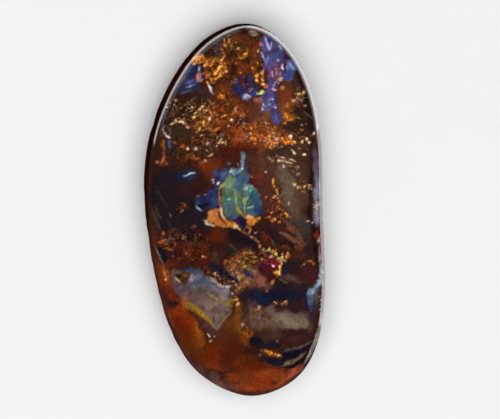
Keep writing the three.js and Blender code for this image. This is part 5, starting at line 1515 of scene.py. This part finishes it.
def wall_layers(points):
    """The wall's thin layers: noise at places pressed together sideways and drawn apart in height."""
    return cloud(points * LAYER_STRETCH, LAYER_SIZE, LAYER_SEED)


def paint_wall(points, colours):
    """Lays the wall's and the back's colours over the face's. The wall is coloured by its layers and reddens
    towards the lower left, and the back's patches are plain noise."""
    height = points[:, 2]
    layers = wall_layers(points)
    redness = smooth_step(*RED_DOWN, -points[:, 1]) * smooth_step(*RED_LEFT, -points[:, 0])
    redness *= RED_STRENGTH - RED_LOSS * smooth_step(*RED_LAYERS, layers)
    wall_colours = np.tile(srgb(WALL_COLOURS[0]), (len(points), 1))
    lay(wall_colours, WALL_COLOURS[1], smooth_step(*WALL_DARK_LAYERS, layers))
    lay(wall_colours, WALL_COLOURS[2], WALL_PALE_STRENGTH * smooth_step(*WALL_PALE_LAYERS, -layers))
    lay(wall_colours, WALL_RED, redness)
    patches = cloud(points, PATCH_SIZE, PATCH_SEED, PATCH_OCTAVES)
    back_colours = np.tile(srgb(BACK_COLOURS[0]), (len(points), 1))
    lay(back_colours, BACK_COLOURS[1], smooth_step(*BACK_DARK_PATCHES, patches))
    lay(back_colours, BACK_COLOURS[2], BACK_PALE_STRENGTH * smooth_step(*BACK_PALE_PATCHES, -patches))
    back = 1 - smooth_step(*BACK_TO_WALL, height)
    wall_colours += (back_colours - wall_colours) * back[:, None]
    below = 1 - smooth_step(*WALL_TO_FACE, height)
    colours += (wall_colours - colours) * below[:, None]


def set_attribute(mesh, name, values):
    """Stores one number for each vertex, or one sRGB colour, which is made linear."""
    kind, field = ("FLOAT_COLOR", "color") if values.ndim == 2 else ("FLOAT", "value")
    if values.ndim == 2:
        values = np.column_stack([linear(values), np.ones(len(values))])
    mesh.attributes.new(name, kind, "POINT").data.foreach_set(field, values.astype(np.float32).ravel())


def paint_stone(stone, points):
    """Works out the stone's markings, stores them on its mesh and gives back how dense the grain is."""
    markings = paint_face(as_seen(points))
    paint_wall(points, markings["ground"])
    for name, values in markings.items():
        set_attribute(stone.data, name, values)
    return markings["grain"]


# Fine relief, in millimetres: how deep the wall's layers and lumps, the face's pits and the back's hollows
# are, and how far apart the last three
LAYER_DEPTH = 0.08
LUMP_DEPTH = 0.12
PIT_DEPTH = 0.02
HOLLOW_DEPTH = 0.05
LUMP_SPACING = 2.5
PIT_SPACING = 0.5
HOLLOW_SPACING = 4.0
LUMP_SEED = 141
PIT_SEED = 151
HOLLOW_SEED = 161

# Heights over which the wall's relief comes in above the back and goes out below the rim, the share of the
# way in from the back's edge over which the hollows come in, and the height under which a vertex is on it
RELIEF_IN = (0.05, BACK_BEVEL + 0.3)
RELIEF_OUT = (WALL_TOP - 0.6, WALL_TOP - 0.02)
HOLLOWS_IN = (0.3, 0.6)
BACK_SLACK = 0.01


def wear_stone(stone, points, grain):
    """Moves the stone's points by its fine relief. The wall goes in by its layers and by a plain noise, which
    fade out at the rim and the back. The face goes down in pits where a fine noise is below its middle, as
    deep as the grain is dense. The back goes up in hollows where a slow noise is above its middle."""
    height = points[:, 2]
    oval = points[:, :2] / np.array([HALF_WIDTH, HALF_LENGTH])
    outward = oval / np.array([HALF_WIDTH, HALF_LENGTH])
    outward /= np.maximum(np.hypot(outward[:, 0], outward[:, 1]), 1e-9)[:, None]
    on_wall = smooth_step(*RELIEF_IN, height)
    on_wall *= 1 - smooth_step(*RELIEF_OUT, height)
    cut = LAYER_DEPTH * (0.5 + wall_layers(points)) + LUMP_DEPTH * cloud(points, LUMP_SPACING, LUMP_SEED)
    pits = grain * np.maximum(-cloud(points, PIT_SPACING, PIT_SEED), 0) * (height > WALL_TOP + RIM_DROP)
    hollows = smooth_step(*HOLLOWS_IN, 1 - (oval**2).sum(axis=1)) * (height < BACK_SLACK)
    hollows *= np.maximum(cloud(points, HOLLOW_SPACING, HOLLOW_SEED), 0)
    worn = points.copy()
    worn[:, :2] -= outward * (on_wall * np.maximum(cut, 0))[:, None]
    worn[:, 2] += HOLLOW_DEPTH * hollows - PIT_DEPTH * pits
    stone.data.vertices.foreach_set("co", (worn * MM).ravel())
    stone.data.update()


# Polished boulder opal: ironstone, iron oxides and clay cemented by silica, with opal in its cracks. The
# ironstone is finely granular and mottled, and the opal clear and silky. The polish is like glass, with
# opal's low refractive index. All sizes are in millimetres.
OPAL_IOR = 1.46
POLISH_ROUGHNESS = 0.07
SMEAR_ROUGHNESS = 0.06
SMEAR_SIZE = 2.0
POLISH_BUMP = 0.01
POLISH_BUMP_STRENGTH = 0.1

# Mottling: the size of its specks, how far its light swings and the least light it leaves
SPECK_SIZE = 0.32
SPECK_SWING = 4.4
SPECK_LEAST = 0.35

# Silk in the opal: its patches and streaks, how far a noise pushes their borders, how far the patches' light
# swings and the least light it leaves
SILK_PATCH = 0.7
SILK_WIDTH = 0.22
SILK_LENGTHS = 5.0
SILK_TURN = math.radians(60)
SILK_SWING = 0.8
SILK_LEAST = 0.3
PUSH_SIZE = 0.2
PUSH = 0.25

# Granular patches: the sizes of their rough noise and of the clumps in it, the bar that the noise has to
# pass, how far dense grain and clumps lower it, its soft edge, and the density below which grain thins out.
# The lumps in them are drawn coarser than the real grains, so that they show.
GRAIN_SIZE = 0.55
CLUMP_SIZE = 1.1
GRAIN_BAR = 0.94
GRAIN_HELP = 0.28
CLUMP_HELP = 0.6
GRAIN_EDGE = (-0.03, 0.04)
GRAIN_THIN = 0.15

# Lumps in the patches: their size, how few are bright, the least light and what the brightest add, the reach
# over which one darkens to its border and the light left there, and each lump's own red, green and blue
LUMP_SIZE = 0.42
LUMP_ODDS = 1.6
LUMP_LIGHT = (0.2, 1.25)
LUMP_REACH = (0.2, 0.65)
LUMP_BORDER = 0.25
LUMP_HUES = (0.75, 0.8, 0.65)
LUMP_HUE_SWING = (0.5, 0.35, 0.7)
LUMP_LEAST = 0.45

# A finer light over the lumps: its size, and the light it gives from one level of its noise to another
TONE_SIZE = 0.3
TONE_LEVELS = (0.35, 0.6)
TONE_LIGHT = (0.5, 1.15)

# Threads, drawn coarser than the finest real ones so that they show: spacing, half width in the noise's own
# measure, the levels of the finer noise that breaks them up, and colour
THREAD_SPACING = 0.8
THREAD_WIDTH = 0.017
THREAD_BREAKS = (0.47, 0.57)
CREAM = "d8ac74"


def polished_boulder_opal():
    """The face and the rim: the painted markings with mottling, silk, grain and threads worked over them, and
    a smooth polish."""
    material, add = new_material("polished_boulder_opal")
    place = add("TexCoord", {}, {}, "Object")
    in_mm = add("VectorMath", {"operation": "SCALE"}, {0: place, "Scale": 1 / MM})
    ground = add("Attribute", {"attribute_name": "ground"}, {}, "Color")
    mottle = add("Attribute", {"attribute_name": "mottle"}, {}, "Fac")
    tint = add("Attribute", {"attribute_name": "grain_tint"}, {}, "Color")
    grain = add("Attribute", {"attribute_name": "grain"}, {}, "Fac")
    threads = add("Attribute", {"attribute_name": "threads"}, {}, "Fac")
    opal = add("Attribute", {"attribute_name": "opal"}, {}, "Fac")

    # Mottling: the ground's light goes up and down with a fine noise, and its red, green and blue each a
    # little with a noise of their own
    specks = {"Vector": in_mm, "Scale": 1 / SPECK_SIZE, "Detail": 4.0, "Roughness": 0.7}
    speck = add("TexNoise", {}, specks)
    hues = add("TexNoise", {}, specks, "Color")
    swing = add("Math", {"operation": "MULTIPLY_ADD"}, {0: speck, 1: SPECK_SWING, 2: -(SPECK_SWING + 1) / 2})
    swing = add("VectorMath", {"operation": "ADD"}, {0: hues, 1: swing})
    swing = add("VectorMath", {"operation": "SCALE"}, {0: swing, "Scale": mottle})
    level = add("VectorMath", {"operation": "ADD"}, {0: swing, 1: (1.0, 1.0, 1.0)})
    level = add("VectorMath", {"operation": "MAXIMUM"}, {0: level, 1: (SPECK_LEAST,) * 3})
    colour = add("VectorMath", {"operation": "MULTIPLY"}, {0: ground, 1: level})

    # Opal: small patches of silk, each with its own light, and fine streaks across them
    wander = add("TexNoise", {}, {"Vector": in_mm, "Scale": 1 / PUSH_SIZE, "Detail": 1.0}, "Color")
    pushed = add("VectorMath", {"operation": "MULTIPLY_ADD"}, {0: wander, 1: (PUSH,) * 3, 2: in_mm})
    patch = add("TexVoronoi", {"feature": "SMOOTH_F1"},
                {"Vector": pushed, "Scale": 1 / SILK_PATCH, "Smoothness": 0.3}, "Color")
    patch = add("SeparateColor", {}, {0: patch}, 0)
    drawn = add("Mapping", {"vector_type": "TEXTURE"},
                {"Vector": pushed, "Rotation": (0, 0, SILK_TURN), "Scale": (SILK_LENGTHS, 1.0, 1.0)})
    streaks = add("TexNoise", {},
                  {"Vector": drawn, "Scale": 1 / SILK_WIDTH, "Detail": 2.0, "Distortion": 0.6})
    silk = add("Math", {"operation": "MULTIPLY_ADD"}, {0: patch, 1: SILK_SWING, 2: -(SILK_SWING + 1) / 2})
    silk = add("Math", {"operation": "ADD"}, {0: streaks, 1: silk})
    silk = add("Math", {"operation": "MULTIPLY_ADD"}, {0: silk, 1: opal, 2: 1.0})
    silk = add("Math", {"operation": "MAXIMUM"}, {0: silk, 1: SILK_LEAST})
    colour = add("VectorMath", {"operation": "SCALE"}, {0: colour, "Scale": silk})

    # Granular patches: where a rough noise is above a bar that falls as the grain gets denser
    rough = add("TexNoise", {}, {"Vector": in_mm, "Scale": 1 / GRAIN_SIZE, "Detail": 4.0, "Roughness": 0.65,
                                 "Distortion": 1.0})
    clump = add("TexNoise", {}, {"Vector": in_mm, "Scale": 1 / CLUMP_SIZE, "Detail": 2.0})
    bar = add("Math", {"operation": "MULTIPLY_ADD"}, {0: grain, 1: GRAIN_HELP, 2: -GRAIN_BAR})
    bar = add("Math", {"operation": "MULTIPLY_ADD"}, {0: clump, 1: CLUMP_HELP, 2: bar})
    above = add("Math", {"operation": "ADD"}, {0: rough, 1: bar})
    above = add("MapRange", {"interpolation_type": "SMOOTHSTEP"},
                {"Value": above, "From Min": GRAIN_EDGE[0], "From Max": GRAIN_EDGE[1]})
    there = add("MapRange", {}, {"Value": grain, "From Min": 0.0, "From Max": GRAIN_THIN})
    above = add("Math", {"operation": "MULTIPLY"}, {0: above, 1: there})
    tone_noise = add("TexNoise", {}, {"Vector": in_mm, "Scale": 1 / TONE_SIZE, "Detail": 3.0,
                                      "Roughness": 0.6, "Distortion": 1.0})

    # Lumps in them: cells bright in the middle and dark towards their borders, each with its own light
    cells = {"Vector": pushed, "Scale": 1 / LUMP_SIZE}
    reach = add("TexVoronoi", {}, cells, "Distance")
    dice = add("TexVoronoi", {}, cells, "Color")
    die = add("SeparateColor", {}, {0: dice}, 0)
    die = add("Math", {"operation": "POWER"}, {0: die, 1: LUMP_ODDS})
    own_light = add("Math", {"operation": "MULTIPLY_ADD"}, {0: die, 1: LUMP_LIGHT[1], 2: LUMP_LIGHT[0]})
    middle = add("MapRange", {"interpolation_type": "SMOOTHSTEP"},
                 {"Value": reach, "From Min": LUMP_REACH[0], "From Max": LUMP_REACH[1],
                  "To Min": 1.0, "To Max": LUMP_BORDER})
    tone = add("MapRange", {},
               {"Value": tone_noise, "From Min": TONE_LEVELS[0], "From Max": TONE_LEVELS[1],
                "To Min": TONE_LIGHT[0], "To Max": TONE_LIGHT[1]})
    tone = add("Math", {"operation": "MULTIPLY"}, {0: tone, 1: own_light})
    tone = add("Math", {"operation": "MULTIPLY"}, {0: tone, 1: middle})
    own_hue = add("VectorMath", {"operation": "MULTIPLY_ADD"}, {0: dice, 1: LUMP_HUE_SWING, 2: LUMP_HUES})
    grains = add("VectorMath", {"operation": "MULTIPLY"}, {0: tint, 1: own_hue})
    grains = add("VectorMath", {"operation": "SCALE"}, {0: grains, "Scale": tone})
    dimmed = add("VectorMath", {"operation": "SCALE"}, {0: colour, "Scale": LUMP_LEAST})
    grains = add("VectorMath", {"operation": "MAXIMUM"}, {0: grains, 1: dimmed})
    colour = add("Mix", {"data_type": "RGBA"}, {"Factor": above, 6: colour, 7: grains}, 2)

    # Threads: narrow bands where a slow noise crosses its middle, broken up by a second noise
    slow = add("TexNoise", {},
               {"Vector": in_mm, "Scale": 1 / THREAD_SPACING, "Detail": 2.0, "Distortion": 0.5})
    near_middle = add("Math", {"operation": "COMPARE"}, {0: slow, 1: 0.5, 2: THREAD_WIDTH})
    breaks = add("MapRange", {"interpolation_type": "SMOOTHSTEP"},
                 {"Value": tone_noise, "From Min": THREAD_BREAKS[0], "From Max": THREAD_BREAKS[1]})
    thread = add("Math", {"operation": "MULTIPLY"}, {0: near_middle, 1: breaks})
    thread = add("Math", {"operation": "MULTIPLY"}, {0: thread, 1: threads})
    cream = (*linear(srgb(CREAM)), 1)
    colour = add("Mix", {"data_type": "RGBA"}, {"Factor": thread, 6: colour, 7: cream}, 2)

    # Polish: faint smears, and pits too small to see one by one
    smear = add("TexNoise", {}, {"Vector": in_mm, "Scale": 1 / SMEAR_SIZE, "Detail": 3.0})
    roughness = add("Math", {"operation": "MULTIPLY_ADD"},
                    {0: smear, 1: SMEAR_ROUGHNESS, 2: POLISH_ROUGHNESS - SMEAR_ROUGHNESS / 2})
    bump = add("Bump", {}, {"Height": rough, "Distance": POLISH_BUMP * MM, "Strength": POLISH_BUMP_STRENGTH})
    shader = add("BsdfPrincipled", {},
                 {"Base Color": colour, "Roughness": roughness, "IOR": OPAL_IOR, "Normal": bump})
    add("OutputMaterial", {}, {"Surface": shader})
    return material


# Ground ironstone: the same rock left matt from the wheel, so it has no mirror sheen and shows fine grit.
# Sizes are in millimetres. Light, roughness and bump follow the grit's noise.
GRIT_SIZE = 0.15
GRIT_BUMP = 0.03
GRIT_BUMP_STRENGTH = 0.6
GRIT_LEVELS = (0.3, 0.7)
GRIT_LIGHT = (0.4, 1.5)
GROUND_ROUGHNESS = (0.5, 0.75)


def ground_ironstone():
    """The wall and the back: their painted colours with fine grit, and no mirror sheen."""
    material, add = new_material("ground_ironstone")
    place = add("TexCoord", {}, {}, "Object")
    in_mm = add("VectorMath", {"operation": "SCALE"}, {0: place, "Scale": 1 / MM})
    ground = add("Attribute", {"attribute_name": "ground"}, {}, "Color")
    speck = add("TexNoise", {},
                {"Vector": in_mm, "Scale": 1 / (2 * GRIT_SIZE), "Detail": 4.0, "Roughness": 0.7})
    level = add("MapRange", {},
                {"Value": speck, "From Min": GRIT_LEVELS[0], "From Max": GRIT_LEVELS[1],
                 "To Min": GRIT_LIGHT[0], "To Max": GRIT_LIGHT[1]})
    colour = add("VectorMath", {"operation": "SCALE"}, {0: ground, "Scale": level})
    grit = add("TexNoise", {}, {"Vector": in_mm, "Scale": 1 / GRIT_SIZE, "Detail": 3.0})
    roughness = add("MapRange", {},
                    {"Value": grit, "To Min": GROUND_ROUGHNESS[0], "To Max": GROUND_ROUGHNESS[1]})
    bump = add("Bump", {}, {"Height": grit, "Distance": GRIT_BUMP * MM, "Strength": GRIT_BUMP_STRENGTH})
    shader = add("BsdfPrincipled", {},
                 {"Base Color": colour, "Roughness": roughness, "Specular IOR Level": 0.0, "Normal": bump})
    add("OutputMaterial", {}, {"Surface": shader})
    return material


# The floor: a board painted pale and matt, with a faint cloudiness. Sizes are in metres.
FLOOR_HALF = 2.0
FLOOR_CLOUD = 1 / 30
FLOOR_COLOURS = ["f5f5f5", "f8f8f8"]
FLOOR_ROUGHNESS = 0.9


def make_floor():
    """One square face under the stone, and its paint."""
    material, add = new_material("matt_painted_board")
    place = add("TexCoord", {}, {}, "Object")
    clouds = add("TexNoise", {}, {"Vector": place, "Scale": 1 / FLOOR_CLOUD, "Detail": 2.0})
    pale, paler = ((*linear(srgb(hex_colour)), 1) for hex_colour in FLOOR_COLOURS)
    colour = add("Mix", {"data_type": "RGBA"}, {"Factor": clouds, 6: pale, 7: paler}, 2)
    shader = add("BsdfPrincipled", {}, {"Base Color": colour, "Roughness": FLOOR_ROUGHNESS})
    add("OutputMaterial", {}, {"Surface": shader})
    corners = [(-FLOOR_HALF, -FLOOR_HALF, 0), (FLOOR_HALF, -FLOOR_HALF, 0),
               (FLOOR_HALF, FLOOR_HALF, 0), (-FLOOR_HALF, FLOOR_HALF, 0)]
    mesh = bpy.data.meshes.new("floor")
    mesh.from_pydata(corners, [], [(0, 1, 2, 3)])
    mesh.materials.append(material)
    floor = bpy.data.objects.new("floor", mesh)
    bpy.context.scene.collection.objects.link(floor)


# Light: a grey room that is dark overhead, so that the polish shows the stone, one soft box above that lights
# the floor and the stone and leaves no reflection, and long soft boxes low at both upper sides, with dimmer
# ones over them, which only show as the pale lines that the rim mirrors
ROOM_PALE = 0.1
ROOM_DARK = 0.03
PALE_UP_TO = math.sin(math.radians(12))
DARK_FROM = math.sin(math.radians(33))
BOX_DISTANCE = 0.6
# Name, direction from +X in degrees, height above the horizon in degrees, length and width in metres, power
# in watts, and whether it is only mirrored or only lights
SOFT_BOXES = [
    ("overhead_box", 250, 80, 0.80, 0.80, 5.3, False),
    ("right_box", 43, 9, 0.96, 0.19, 7.6, True),
    ("right_glow_box", 43, 24, 0.96, 0.13, 1.0, True),
    ("right_end_box", -6, 8, 0.23, 0.17, 0.85, True),
    ("left_box", 126, 12, 1.12, 0.14, 4.3, True),
    ("left_glow_box", 128, 32, 0.70, 0.34, 0.9, True),
]


def make_light():
    """The room, whose grey goes from pale to dark with the height looked at, and the soft boxes, each a
    rectangle at one distance from the origin and facing it."""
    world = bpy.data.worlds.new("studio")
    bpy.context.scene.world = world
    world.use_nodes = True
    world.node_tree.nodes.clear()
    add = partial(add_node, world.node_tree)
    place = add("TexCoord", {}, {}, "Generated")
    upward = add("SeparateXYZ", {}, {0: place}, "Z")
    room = add("MapRange", {"interpolation_type": "SMOOTHSTEP"},
               {"Value": upward, "From Min": PALE_UP_TO, "From Max": DARK_FROM,
                "To Min": ROOM_PALE, "To Max": ROOM_DARK})
    sky = add("Background", {}, {"Color": room})
    add("OutputWorld", {}, {"Surface": sky})
    for name, direction, rise, length, width, power, mirrored in SOFT_BOXES:
        light = bpy.data.lights.new(name, "AREA")
        light.shape = "RECTANGLE"
        light.size = length
        light.size_y = width
        light.energy = power
        lamp = bpy.data.objects.new(name, light)
        lamp.visible_glossy = mirrored
        lamp.visible_diffuse = not mirrored
        bpy.context.scene.collection.objects.link(lamp)
        turn, lift = math.radians(direction), math.radians(rise)
        away = Vector((math.cos(turn) * math.cos(lift), math.sin(turn) * math.cos(lift), math.sin(lift)))
        lamp.location = away * BOX_DISTANCE
        lamp.rotation_euler = away.to_track_quat("Z", "Y").to_euler()


def make_camera():
    """A camera that looks down the two leans from straight above, with +Y up in the picture. It is moved
    sideways so that the stone's middle falls on its pixel."""
    away = Vector((-math.sin(LEAN_LEFT), math.sin(LEAN_UP), 0))
    away.z = math.sqrt(1 - away.length_squared)
    up = (Vector((0, 1, 0)) - away * away.y).normalized()
    right = up.cross(away)
    offset_x = (PICTURE_SIZE[0] / 2 - STONE_PIXEL[0]) / PIXELS_PER_MM * MM
    offset_y = (STONE_PIXEL[1] - PICTURE_SIZE[1] / 2) / PIXELS_PER_MM * MM
    data = bpy.data.cameras.new("camera")
    data.sensor_width = SENSOR_WIDTH
    data.lens = SENSOR_WIDTH * CAMERA_DISTANCE / (PICTURE_SIZE[0] / PIXELS_PER_MM * MM)
    data.clip_start = CAMERA_DISTANCE / 10
    camera = bpy.data.objects.new("camera", data)
    place = STONE_MIDDLE + right * offset_x + up * offset_y + away * CAMERA_DISTANCE
    turn = Matrix((right, up, away)).transposed()
    camera.matrix_world = Matrix.Translation(place) @ turn.to_4x4()
    bpy.context.scene.collection.objects.link(camera)
    bpy.context.scene.camera = camera


stone, points = make_stone()
wear_stone(stone, points, paint_stone(stone, points))
stone.data.materials.append(polished_boulder_opal())
stone.data.materials.append(ground_ironstone())
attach(stone, "root")
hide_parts(STONE)
make_floor()
make_light()
make_camera()
bpy.context.scene.view_settings.view_transform = "Standard"

bpy.context.view_layer.update()
